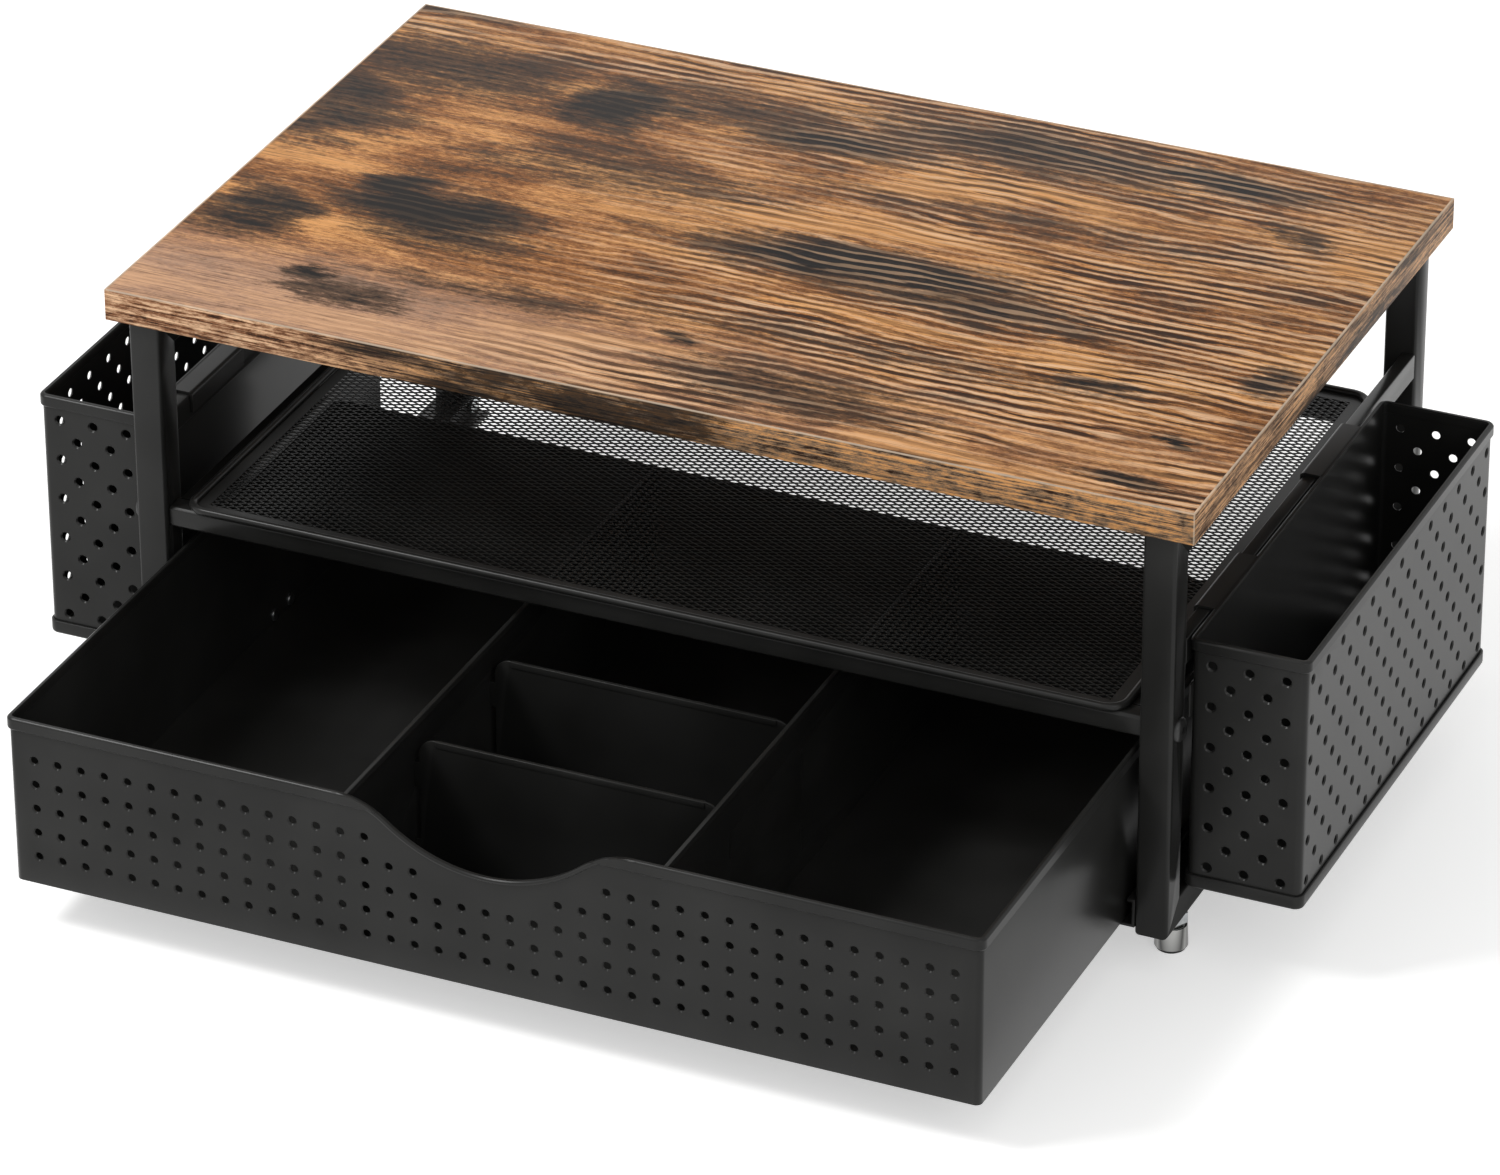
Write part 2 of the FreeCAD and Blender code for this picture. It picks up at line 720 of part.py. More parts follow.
def feet():
    """Tapered feet on threaded stems, each with a rubber pad."""
    neck_top = d.rail_clearance - d.nut_height - d.glide_clearance
    stem_top = d.rail_clearance + d.foot_stem_reach
    sides = SIZES["foot_sides"]
    for side_name, side in SIDES:
        for end_name, end in ENDS:
            label = "%s_%s_foot" % (side_name, end_name)
            name = side_name.capitalize() + end_name.capitalize() + "Foot"
            spot = (frame_middle * side, board_middle + foot_reach * end)
            body = body_at(name, *spot, 0)
            base = sketch_on(body, "XY_Plane", d.foot_pad_height)
            closed(base, ring(d.foot_base_diameter, sides))
            top = sketch_on(body, "XY_Plane", d.foot_disc_top)
            closed(top, ring(d.foot_top_diameter, sides))
            disc = body.newObject("PartDesign::AdditiveLoft", name + "Disc")
            disc.Profile = base
            disc.Sections = [top]
            disc.Ruled = True
            neck = sketch_on(body, "XY_Plane", d.foot_disc_top)
            closed(neck, ring(d.foot_neck_diameter, SIZES["stem_sides"]))
            pad(body, neck, neck_top - d.foot_disc_top)
            stem = sketch_on(body, "XY_Plane", neck_top)
            closed(stem, ring(d.foot_stem_diameter, SIZES["stem_sides"]))
            pad(body, stem, stem_top - neck_top)
            keep(body, label)
            rubber = prism(name + "Pad", *spot, 0, "+z", d.foot_pad_diameter, d.foot_pad_height, sides)
            keep(rubber, label + "_pad")


def folded_outline(sketch, half, radius, sheet_t, reach, proud=0):
    """Plan of a wall whose ends are folded back round the corners."""
    out = half + proud
    big = radius + proud
    small = radius - sheet_t
    closed(sketch, [
        (-out, reach), (-out, radius, big, 1), (radius - half, -proud),
        (half - radius, -proud, big, 1), (out, radius), (out, reach),
        (half - sheet_t, reach), (half - sheet_t, radius, small, -1), (half - radius, sheet_t),
        (radius - half, sheet_t, small, -1), (sheet_t - half, radius), (sheet_t - half, reach),
    ])


def folded_wall(name, place_at, turn, half, radius, sheet_t, reach, height, hem, proud):
    """A wall with folded ends and a proud hem along the top."""
    body = body_at(name, *place_at, turn)
    plan = sketch_on(body, "XY_Plane")
    folded_outline(plan, half, radius, sheet_t, reach)
    pad(body, plan, height)
    rim = sketch_on(body, "XY_Plane", height - hem)
    folded_outline(rim, half, radius, sheet_t, reach, proud)
    pad(body, rim, hem)
    return body


def flat_wall(name, side, outer, front, rear, bottom, top, sheet_t, hem, proud):
    """A straight side wall with a proud hem along the top. outer is the distance of its outer face."""
    body = body_at(name, 0, front, 0)
    section = sketch_on(body, "XZ_Plane")
    inner = (outer - sheet_t) * side
    tip = (outer + proud) * side
    closed(section, [
        (inner, bottom), (outer * side, bottom), (outer * side, top - hem),
        (tip, top - hem), (tip, top), (inner, top),
    ])
    pad(body, section, rear - front, reverse=True)
    return body


def drawer_front():
    """Perforated front with the finger scoop."""
    place_at = (0, drawer_wall_front, drawer_bottom)
    body = folded_wall("DrawerFront", place_at, 0, drawer_half, d.drawer_corner, d.drawer_sheet,
                       d.drawer_return, d.drawer_height, d.drawer_hem, d.drawer_hem_proud)
    wide = d.scoop_half_width
    deep = d.scoop_depth
    top = d.drawer_height
    low_radius = d.scoop_bottom_radius
    square = wide * wide + deep * deep
    high_radius = square / (2 * deep) - low_radius
    turn_x = low_radius * 2 * deep * wide / square
    turn_z = top - deep + low_radius * 2 * deep * deep / square
    scoop = sketch_on(body, "XZ_Plane")
    closed(scoop, [
        (-wide, top, high_radius, -1), (-turn_x, turn_z, low_radius, 1),
        (turn_x, turn_z, high_radius, -1), (wide, top),
        (wide, top + 1), (-wide, top + 1),
    ])
    pocket(body, scoop)
    holes = []
    columns = SIZES["front_hole_columns"]
    for row in range(SIZES["front_rows"]):
        drop = SIZES["front_row_drop"] + row * SIZES["front_row_pitch"]
        for column in range(columns):
            x = (column - (columns - 1) / 2) * SIZES["front_hole_pitch"]
            if drop > scoop_drop(abs(x)) + SIZES["front_scoop_margin"]:
                holes.append((x, (drawer_bottom + top).value - drop))
    start = drawer_wall_front.value - 2
    done = perforated(body, holes, (UNIT_X, UNIT_Z), SIZES["front_hole_diameter"], 4, UNIT_Y, start, 4)
    keep(done, "drawer_front")


def scoop_drop(x):
    """How far the scoop's edge lies below the drawer's top at a distance from the middle."""
    wide = SIZES["scoop_half_width"]
    deep = SIZES["scoop_depth"]
    low_radius = SIZES["scoop_bottom_radius"]
    square = wide * wide + deep * deep
    high_radius = square / (2 * deep) - low_radius
    if x >= wide:
        return 0
    if x > low_radius * 2 * deep * wide / square:
        return high_radius - math.sqrt(high_radius ** 2 - (wide - x) ** 2)
    return deep - low_radius + math.sqrt(low_radius ** 2 - x ** 2)


def drawer_shell():
    """Sides, rear and floor of the drawer."""
    front = drawer_wall_front + d.drawer_return
    rear = drawer_wall_rear - d.drawer_return
    top = drawer_bottom + d.drawer_height
    for name, side in SIDES:
        body = flat_wall(name.capitalize() + "DrawerSide", side, drawer_half, front, rear, drawer_bottom,
                         top, d.drawer_sheet, d.drawer_hem, d.drawer_hem_proud)
        rivets = sketch_on(body, "YZ_Plane")
        for spot in rivet_spots():
            drill(rivets, spot - front, runner_middle_z, d.rivet_diameter + 2 * d.hole_clearance)
        pocket(body, rivets)
        keep(body, "drawer_%s_side" % name)
    place_at = (0, drawer_wall_rear, drawer_bottom)
    body = folded_wall("DrawerRear", place_at, 180, drawer_half, d.drawer_corner, d.drawer_sheet,
                       d.drawer_return, d.drawer_height, d.drawer_hem, d.drawer_hem_proud)
    keep(body, "drawer_rear")
    half_x = drawer_half - d.drawer_sheet
    half_y = (drawer_wall_rear - drawer_wall_front) / 2 - d.drawer_sheet
    body = body_at("DrawerFloor", 0, (drawer_wall_rear + drawer_wall_front) / 2, drawer_bottom)
    plan = sketch_on(body, "XY_Plane")
    eased(plan, -half_x, -half_y, half_x, half_y, d.drawer_corner - d.drawer_sheet)
    pad(body, plan, d.drawer_sheet)
    keep(body, "drawer_floor")


def rivet_spots():
    """Y places of the two rivets of each glide."""
    middle = drawer_face + glide_front() + d.glide_length / 2
    return middle - d.rivet_spacing / 2, middle + d.rivet_spacing / 2


def glides():
    """Nylon blocks riveted to the drawer's sides, which run in the channels."""
    blocks = []
    rivets = []
    front = drawer_face + glide_front()
    low = d.runner_bottom + d.runner_sheet + d.glide_clearance
    high = d.runner_bottom + d.runner_height - d.runner_sheet - d.glide_clearance
    outer = frame_inner - d.runner_sheet - d.glide_clearance
    sides = SIZES["bore_sides"]
    bore_width = clearing(d.rivet_diameter + 2 * d.hole_clearance, sides)
    for name, side in SIDES:
        outward = "+x" if side > 0 else "-x"
        edges = (drawer_half, outer) if side > 0 else (-outer, -drawer_half)
        block = box(name + "GlideBlank", edges[0], front, low, edges[1], front + d.glide_length, high)
        bores = []
        for number, spot in enumerate(rivet_spots()):
            bores.append(prism("%sGlideBore%d" % (name, number), drawer_half * side, spot, runner_middle_z,
                               outward, bore_width, outer - drawer_half, sides))
            seat = ((drawer_half - d.drawer_sheet) * side, spot, runner_middle_z)
            rivets.append(screw("%sRivet%d" % (name, number), *seat, outward,
                                (d.rivet_head_diameter, d.rivet_head_height),
                                (d.rivet_diameter, d.drawer_sheet + outer - drawer_half - d.glide_clearance)))
        blocks.append(cut(name + "Glide", block, fuse(name + "GlideBores", bores)))
    keep(group("DrawerGlides", blocks), "drawer_glides")
    keep(group("GlideRivets", rivets), "glide_rivets")


def tab_levels():
    """Lower ends of the cross dividers' tabs, above the drawer's floor."""
    return d.tab_low, d.tab_high


def long_dividers():
    """Dividers from front to rear, with slots for the cross dividers' tabs."""
    front = drawer_wall_front + d.drawer_sheet
    rear = drawer_wall_rear - d.drawer_sheet
    top = drawer_bottom + d.drawer_height - d.divider_drop
    for name, x in (("left", d.left_divider_x), ("right", d.right_divider_x)):
        body = body_at(name.capitalize() + "LongDivider", x, front, 0)
        half = d.divider_sheet / 2
        bead = d.divider_bead / 2
        neck = top - d.divider_bead_height
        section = sketch_on(body, "XZ_Plane")
        closed(section, [
            (-half, floor_top), (half, floor_top), (half, neck), (bead, neck),
            (bead, top), (-bead, top), (-bead, neck), (-half, neck),
        ])
        pad(body, section, rear - front, reverse=True)
        slots = sketch_on(body, "YZ_Plane")
        for setback in (d.cross_front_setback, d.cross_rear_setback):
            spot = drawer_face + setback - front
            for level in tab_levels():
                rectangle(slots, spot - half - d.tab_clearance, floor_top + level - d.tab_clearance,
                          spot + half + d.tab_clearance, floor_top + level + d.tab_height + d.tab_clearance)
        pocket(body, slots)
        keep(body, name + "_long_divider")


def cross_dividers():
    """Short dividers between the long ones, with round shoulders and tabs at the ends."""
    half_sheet = d.divider_sheet / 2
    middle = (d.left_divider_x + d.right_divider_x) / 2
    reach = (d.right_divider_x - d.left_divider_x) / 2
    half = reach - half_sheet - d.cross_end_gap
    tip = reach + half_sheet
    top = drawer_bottom + d.drawer_height - d.cross_drop - floor_top
    for name, setback in (("front", d.cross_front_setback), ("rear", d.cross_rear_setback)):
        body = body_at(name.capitalize() + "CrossDivider", middle, drawer_face + setback, floor_top)
        outline = sketch_on(body, "XZ_Plane")
        round_r = d.cross_corner
        right = [(half, 0)]
        for level in tab_levels():
            right += [(half, level), (tip, level), (tip, level + d.tab_height), (half, level + d.tab_height)]
        right.append((half, top - round_r, round_r, 1))
        left = [(half - round_r, top), (round_r - half, top, round_r, 1), (-half, top - round_r)]
        for level in reversed(tab_levels()):
            left += [(-half, level + d.tab_height), (-tip, level + d.tab_height), (-tip, level), (-half, level)]
        left.append((-half, 0))
        closed(outline, right + left)
        pad(body, outline, d.divider_sheet, symmetric=True)
        bead = sketch_on(body, "XZ_Plane")
        rectangle(bead, round_r - half, top - d.divider_bead_height, half - round_r, top)
        pad(body, bead, d.divider_bead, symmetric=True)
        keep(body, name + "_cross_divider")


def holder_end_walls():
    """Front and rear walls of the pen holders, perforated in staggered rows."""
    height = d.holder_height - d.holder_sheet
    for side_name, side in SIDES:
        for end_name, end in ENDS:
            wall_y = holder_wall_front if end < 0 else holder_wall_rear
            name = side_name.capitalize() + "Holder" + end_name.capitalize()
            body = folded_wall(name, (holder_middle * side, wall_y, holder_floor), 0 if end < 0 else 180,
                               holder_half, d.holder_corner, d.holder_sheet, d.holder_return,
                               height, d.holder_hem, d.holder_hem_proud)
            if end < 0:
                ear_top = height - d.ear_drop
                ear = sketch_on(body, "XY_Plane", ear_top - d.ear_height)
                edge = -holder_half * side
                inner = (d.holder_sheet - holder_half) * side
                rectangle(ear, edge, -d.ear_reach, inner, d.holder_return)
                pad(body, ear, d.ear_height)
            holes = []
            pitch = SIZES["holder_hole_pitch"]
            for row in range(SIZES["holder_rows"]):
                level = holder_top.value - SIZES["holder_row_drop"] - row * SIZES["holder_row_pitch"]
                steps = (-2, 0, 2) if row % 2 == 0 else (-1, 1)
                holes += [(holder_middle.value * side + pitch * step, level) for step in steps]
            start = wall_y.value - 2
            done = perforated(body, holes, (UNIT_X, UNIT_Z), SIZES["holder_hole_diameter"], 4,
                              UNIT_Y, start, 4)
            keep(done, "%s_holder_%s_wall" % (side_name, end_name))


def holder_side_walls():
    """Outer walls, and inner walls with the hooks that hang the holders."""
    front = holder_wall_front + d.holder_return
    rear = holder_wall_rear - d.holder_return
    for name, side in SIDES:
        outer = holder_middle + holder_half
        body = flat_wall(name.capitalize() + "HolderOuter", side, outer, front, rear, holder_floor,
                         holder_top, d.holder_sheet, d.holder_hem, d.holder_hem_proud)
        keep(body, name + "_holder_outer_wall")
        body = flat_wall(name.capitalize() + "HolderInner", -side, -holder_inner, front, rear, holder_floor,
                         holder_top, d.holder_sheet, d.holder_hem, d.holder_hem_proud)
        hooks(body, side, front)
        keep(body, name + "_holder_inner_wall")


def hooks(body, side, front):
    """Two flanges folded inward and down, over the hanger bar."""
    skirt_face = frame_outer - d.hanger_thickness - d.hook_clearance
    skirt_back = (skirt_face - d.hook_sheet) * side
    skirt_face = skirt_face * side
    root = holder_inner * side
    top = holder_top
    under = top - d.hook_sheet
    low = top - d.hook_depth
    first = board_front + d.holder_setback + d.hook_setback - front
    last = rear_mirror(first, front) - d.hook_length
    for start in (first, last):
        section = sketch_on(body, "XZ_Plane", -start)
        closed(section, [
            (root, under), (skirt_face, under), (skirt_face, low), (skirt_back, low),
            (skirt_back, top), (root, top),
        ])
        pad(body, section, d.hook_length, reverse=True)


def rear_mirror(distance, front):
    """The same distance measured from the holder's other end."""
    return holder_wall_front + holder_wall_rear - 2 * front - distance


def base_pans():
    """Shallow pans with upright lips round the foot of the holder walls."""
    middle_y = (holder_wall_front + holder_wall_rear) / 2
    half_y = (holder_wall_rear - holder_wall_front) / 2
    proud = d.holder_hem_proud
    for name, side in SIDES:
        body = body_at(name.capitalize() + "BasePan", holder_middle * side, middle_y, d.holder_bottom)
        plan = sketch_on(body, "XY_Plane")
        rounded(plan, -holder_half - proud, -half_y - proud, holder_half + proud, half_y + proud,
                d.holder_corner + proud)
        pad(body, plan, d.pan_lip)
        inside = sketch_on(body, "XY_Plane", d.pan_lip)
        rounded(inside, -holder_half, -half_y, holder_half, half_y, d.holder_corner)
        pocket(body, inside, d.pan_lip - d.holder_sheet)
        keep(body, name + "_holder_base_pan")


def check():
    """Stops where an object has failed or a piece is not a valid solid."""
    for thing in doc.Objects:
        if "Invalid" in thing.State or "Error" in thing.State:
            raise RuntimeError("%s failed: %s" % (thing.Name, thing.State))
    for node in NODES:
        shape = node.Shape
        if shape.isNull() or not shape.isValid() or not shape.Solids:
            raise RuntimeError(node.Label + " is not a valid solid")


def main():
    board()
    legs()
    rails()
    hanger_bars()
    shelf_bars()
    shelf_tray()
    runners()
    fasteners()
    feet()
    drawer_front()
    drawer_shell()
    glides()
    long_dividers()
    cross_dividers()
    holder_end_walls()
    holder_side_walls()
    base_pans()
    doc.recompute()
    check()
    os.makedirs("parts", exist_ok=True)
    for node in NODES:
        node.Shape.exportStep("parts/%s.step" % node.Label)
    print(len(NODES), "pieces,", sum(len(node.Shape.Solids) for node in NODES), "solids")


main()
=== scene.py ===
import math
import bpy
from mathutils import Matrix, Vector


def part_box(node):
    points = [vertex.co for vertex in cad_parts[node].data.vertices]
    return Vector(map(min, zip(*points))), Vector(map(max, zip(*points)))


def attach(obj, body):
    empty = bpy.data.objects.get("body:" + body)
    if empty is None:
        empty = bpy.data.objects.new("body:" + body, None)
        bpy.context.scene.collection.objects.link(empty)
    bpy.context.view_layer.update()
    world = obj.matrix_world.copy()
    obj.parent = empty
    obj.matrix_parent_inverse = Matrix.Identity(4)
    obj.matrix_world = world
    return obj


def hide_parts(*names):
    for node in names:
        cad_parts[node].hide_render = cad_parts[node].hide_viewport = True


bl_info = {
    "name": "Monitor riser finish",
    "version": (1, 0, 0),
    "blender": (4, 5, 0),
    "location": "View3D > Sidebar > Riser",
    "description": "Dresses the monitor riser with its drawer, mesh shelf and pen holders",
    "category": "Add Mesh",
}

import bmesh
import bpy
from mathutils import Matrix, Vector

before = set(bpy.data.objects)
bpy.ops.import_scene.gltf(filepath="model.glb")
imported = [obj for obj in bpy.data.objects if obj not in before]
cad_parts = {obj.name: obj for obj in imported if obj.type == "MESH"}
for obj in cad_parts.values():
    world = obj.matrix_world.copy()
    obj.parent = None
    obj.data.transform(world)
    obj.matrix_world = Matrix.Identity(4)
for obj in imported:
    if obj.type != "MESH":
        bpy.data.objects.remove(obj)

MM = 0.001
UP = Vector((0, 0, 1))
RIGHT = Vector((1, 0, 0))
BACK = Vector((0, 1, 0))
FRONT = Vector((0, -1, 0))
SIDES = ("left", "right")
ENDS = ("front", "rear")
WHITE = (1, 1, 1, 1)
# A point this near a side of a box lies on it, and points this near each other are one.
NEAR = 0.05 * MM
MERGE_DISTANCE = 0.01 * MM


def hex_colour(text):
    """The linear colour of an sRGB hex value such as "#3b3b3a"."""
    values = [int(text[place:place + 2], 16) / 255 for place in (1, 3, 5)]
    linear = [v / 12.92 if v <= 0.04045 else ((v + 0.055) / 1.055) ** 2.4 for v in values]
    return (*linear, 1.0)


# Settings


def length(name, millimetres, description):
    """A length setting."""
    return bpy.props.FloatProperty(
        name=name, description=description, default=millimetres * MM, min=0, unit="LENGTH")


def colour(name, text, description):
    """A colour setting, from its sRGB hex value."""
    return bpy.props.FloatVectorProperty(
        name=name, description=description, default=hex_colour(text), size=4, min=0, max=1,
        subtype="COLOR")


class RiserSizes(bpy.types.PropertyGroup):
    tube_round: length("Tube corner", 1.6, "Radius of the square tube's corners")
    edge_ease: length("Edge ease", 0.4, "Radius of a coated sheet's edges")
    band_ease: length("Band ease", 0.25, "Radius of the edge bands' edges")
    sheet: length("Sheet", 1.0, "Thickness of the folded steel sheet")
    hem_height: length("Hem height", 6.0, "Height of the rolled hem along a wall's top")
    hem_proud: length("Hem proud", 1.2, "How far a hem stands out of its wall")
    drawer_corner: length("Drawer corner", 3.0, "Fold radius of the drawer's corners")
    scoop_half_width: length("Scoop half width", 70, "Half the width of the finger scoop")
    scoop_depth: length("Scoop depth", 25, "Depth of the finger scoop")
    scoop_bottom: length("Scoop bottom", 71, "Radius of the scoop's lowest part")
    drawer_hole: length("Drawer hole", 3.4, "Diameter of the holes in the drawer's front")
    drawer_column_pitch: length("Drawer columns", 11.24, "Distance between columns of holes")
    drawer_row_pitch: length("Drawer rows", 11.95, "Distance between rows of holes")
    drawer_row_drop: length("First row", 19.4, "Depth of the first row below the drawer's top")
    holder_corner: length("Holder corner", 3.2, "Fold radius of the pen holders' corners")
    holder_hole: length("Holder hole", 4.0, "Diameter of the holes in the pen holders")
    holder_row_pitch: length("Holder rows", 9.86, "Distance between rows of holes")
    holder_row_drop: length("Holder first row", 11.8, "Depth of the first row below the top")
    holder_end_pitch: length("Holder end columns", 8.35, "Half pitch of the end walls' columns")
    holder_side_pitch: length("Holder side columns", 9.1, "Half pitch of the outer wall's columns")
    mesh_long_way: length("Mesh long way", 7.2, "Long way of the expanded metal's diamonds")
    mesh_short_way: length("Mesh short way", 3.2, "Short way of the expanded metal's diamonds")
    mesh_strand: length("Mesh strand", 0.55, "Width of a strand of the expanded metal")
    mesh_border: length("Mesh border", 6.0, "Plain border of the mesh panel")


class RiserColours(bpy.types.PropertyGroup):
    coat: colour("Powder coat", "#1e1e1d", "Satin black powder coat")
    coat_light: colour("Powder coat, light", "#292928", "Lighter parts of the powder coat")
    wood_dark: colour("Wood, dark", "#4a2e18", "Dark clouds of the printed board")
    wood_middle: colour("Wood, middle", "#a2683a", "Main colour of the printed board")
    wood_light: colour("Wood, light", "#e3a466", "Golden clouds of the printed board")
    # The rose colour is lighter than the print itself: a painted sheen on the board's front left.
    wood_rose_and_sheen: colour("Wood, rose", "#c8a58e", "Rosy brown of the board's front")
    grain_dark: colour("Grain, dark", "#2e1b10", "Dark lines of the grain")
    grain_light: colour("Grain, light", "#f5cba3", "Pale fibres beside the dark lines")
    soot: colour("Soot", "#3f2e22", "Brown haze round the charred patches")
    char: colour("Charred", "#131212", "Charred patches of the printed board")
    band: colour("Edge band", "#9a6f4e", "Main colour of the edge bands")
    band_grey: colour("Edge band, grey", "#7f6a56", "Grey-brown streaks of the edge bands")
    band_rust: colour("Edge band, rust", "#8a5a3b", "Reddish streaks of the front band's left end")
    # A painted highlight along the bands' top rims and down the front right corner.
    band_rim: colour("Edge band, rim", "#d9c3ab", "Pale line along the rims of the edge bands")
    floor: colour("Floor", "#f4f4f3", "The plain pale floor")


def sizes():
    return bpy.context.scene.riser_sizes


def colours():
    return bpy.context.scene.riser_colours


# Work on one piece


def deselect():
    """Leaves edit mode and selects nothing."""
    if bpy.context.object and bpy.context.object.mode != "OBJECT":
        bpy.ops.object.mode_set(mode="OBJECT")
    bpy.ops.object.select_all(action="DESELECT")


def take(*pieces):
    """Selects the pieces alone and makes the first one active."""
    deselect()
    for piece in pieces:
        piece.select_set(True)
    bpy.context.view_layer.objects.active = pieces[0]


def settle(piece):
    """Puts the piece's place, turn and size into its mesh, so that it sits at the origin."""
    take(piece)
    bpy.ops.object.transform_apply(location=True, rotation=True, scale=True)


def named(name):
    """Settles the new piece and names it."""
    piece = bpy.context.object
    settle(piece)
    piece.name = name
    piece.data.name = name
    return piece


def stretched(name, scale):
    """Gives the new primitive its size and settles it."""
    bpy.context.object.scale = scale
    return named(name)


def block(name, low, high):
    """A cuboid between two corners."""
    low, high = Vector(low), Vector(high)
    deselect()
    bpy.ops.mesh.primitive_cube_add(size=1, location=(low + high) / 2, scale=high - low)
    return named(name)


def choose(piece, kind, test=lambda item: True):
    """Selects the faces or edges that pass the test, or all of them, in edit mode."""
    take(piece)
    bpy.ops.object.mode_set(mode="EDIT")
    bpy.ops.mesh.select_mode(type="FACE" if kind == "faces" else "EDGE")
    bpy.ops.mesh.select_all(action="DESELECT")
    mesh = bmesh.from_edit_mesh(piece.data)
    for item in getattr(mesh, kind):
        if test(item):
            item.select_set(True)
    bmesh.update_edit_mesh(piece.data)


def done():
    """Leaves edit mode."""
    bpy.ops.object.mode_set(mode="OBJECT")


def along(edge, axis):
    """Whether an edge runs along the axis."""
    return abs((edge.verts[1].co - edge.verts[0].co).normalized().dot(axis)) > 0.999


def at_sides(edge, bounds, axes):
    """Whether both ends of an edge lie on a side of the box, for each axis given."""
    low, high = bounds
    return all(
        min(abs(end.co[axis] - low[axis]), abs(end.co[axis] - high[axis])) < NEAR
        for end in edge.verts for axis in axes)


def modify(piece, kind, **settings):
    """Adds a modifier and applies it."""
    take(piece)
    bpy.ops.object.modifier_add(type=kind)
    modifier = piece.modifiers[-1]
    for name, value in settings.items():
        setattr(modifier, name, value)
    bpy.ops.object.modifier_apply(modifier=modifier.name)


def ease(piece, radius, steps=2, angle=40, profile=0.5):
    """Rounds the edges that turn by more than the angle."""
    modify(piece, "BEVEL", width=radius, segments=steps, limit_method="ANGLE",
           angle_limit=math.radians(angle), use_clamp_overlap=True, profile=profile)


def outward(piece):
    """Turns the faces of a closed piece outwards."""
    choose(piece, "faces")
    bpy.ops.mesh.normals_make_consistent(inside=False)
    done()


def join(first, *others):
    """Joins the pieces into the first one."""
    take(first, *others)
    if others:
        bpy.ops.object.join()
    return first


def twin(piece, name, mirrored=False):
    """A copy with its own mesh, mirrored across the middle where asked."""
    copy = piece.copy()
    copy.data = piece.data.copy()
    copy.name = name
    copy.data.name = name
    bpy.context.collection.objects.link(copy)
    if mirrored:
        copy.data.transform(Matrix.Scale(-1, 4, RIGHT))
        choose(copy, "faces")
        bpy.ops.mesh.flip_normals()
        done()
    return copy


def cad_copy(node):
    """A copy of a CAD node's solid, merged and freed of its loose triangles."""
    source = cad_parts[node]
    copy = bpy.data.objects.new(node + "_finish", source.data.copy())
    bpy.context.collection.objects.link(copy)
    copy.data.materials.clear()
    choose(copy, "faces")
    bpy.ops.mesh.remove_doubles(threshold=MERGE_DISTANCE)
    bpy.ops.mesh.dissolve_limited(angle_limit=math.radians(1))
    done()
    return copy


def turned(name, rings, sides):
    """A solid turned about Z. A ring is (radius, height) in millimetres, from the lower end up."""
    deselect()
    radius, height = rings[0]
    bpy.ops.mesh.primitive_circle_add(
        vertices=sides, radius=radius * MM, fill_type="NGON", location=(0, 0, height * MM))
    piece = named(name)
    choose(piece, "faces")
    for next_radius, next_height in rings[1:]:
        bpy.ops.mesh.extrude_region_move(
            TRANSFORM_OT_translate={"value": (0, 0, (next_height - height) * MM)})
        scale = next_radius / radius
        bpy.ops.transform.resize(value=(scale, scale, 1), center_override=(0, 0, next_height * MM))
        radius, height = next_radius, next_height
    done()
    outward(piece)
    return piece


def folded(name, low, high, open_sides, fold, radius, sheet):
    """A box folded from sheet. Its edges along the fold axis are round and some sides are open."""
    piece = block(name, low, high)
    choose(piece, "faces", lambda face: any(face.normal.dot(side) > 0.9 for side in open_sides))
    bpy.ops.mesh.delete(type="FACE")
    choose(piece, "edges", lambda edge: len(edge.link_faces) == 2 and along(edge, fold))
    bpy.ops.mesh.bevel(offset=radius, segments=6, affect="EDGES")
    done()
    modify(piece, "SOLIDIFY", thickness=sheet, offset=-1, use_even_offset=True)
    return piece


def carve(piece, tool):
    """Cuts the tool out of the piece and removes the tool."""
    modify(piece, "BOOLEAN", operation="DIFFERENCE", solver="EXACT", object=tool)
    bpy.data.objects.remove(tool)


def punched(piece, punch, spots):
    """Cuts the punch out of the piece at each spot."""
    punches = []
    for spot in spots:
        copy = twin(punch, "punch")
        copy.location = spot
        punches.append(copy)
    tool = join(*punches)
    settle(tool)
    carve(piece, tool)
    bpy.data.objects.remove(punch)


def rolled_hem(name, low, high, corner):
    """A hem rolled outwards round the top of a box."""
    size = sizes()
    # The hem goes a little deeper than the wall's inner face, so that no two faces meet there.
    thickness = size.hem_proud + size.sheet + 0.1 * MM
    hem = folded(name, (low.x, low.y, high.z - size.hem_height), high, [UP, -UP], UP,
                 corner + size.hem_proud, thickness)
    ease(hem, 0.95 * MM, steps=4, angle=60, profile=0.34)
    return hem


def round_punch(diameter, facing):
    """A punch for a round hole with its rim chamfered on the side that faces out."""
    radius = diameter / 2 / MM
    chamfer = 0.65
    punch = turned("punch", [
        (radius, -3), (radius, -0.6), (radius + chamfer, 0.05), (radius + chamfer, 2)], 16)
    punch.rotation_euler = facing.to_track_quat("Z", "Y").to_euler()
    settle(punch)
    return punch


def dress(piece, slot, body, *nodes, smooth=35):
    """Gives a finished piece the material for its slot, puts it in its body and hides the nodes it
    stands for.
    """
    take(piece)
    piece.data.materials.clear()
    piece.data.materials.append(FINISHES[slot]())
    bpy.ops.object.shade_smooth_by_angle(angle=math.radians(smooth))
    deselect()
    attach(piece, body)
    if nodes:
        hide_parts(*nodes)


def eased_copy(node, slot, body, radius, angle=40):
    """Finishes a node from its own solid, with eased edges."""
    piece = cad_copy(node)
    ease(piece, radius, angle=angle)
    dress(piece, slot, body, node)


# Materials


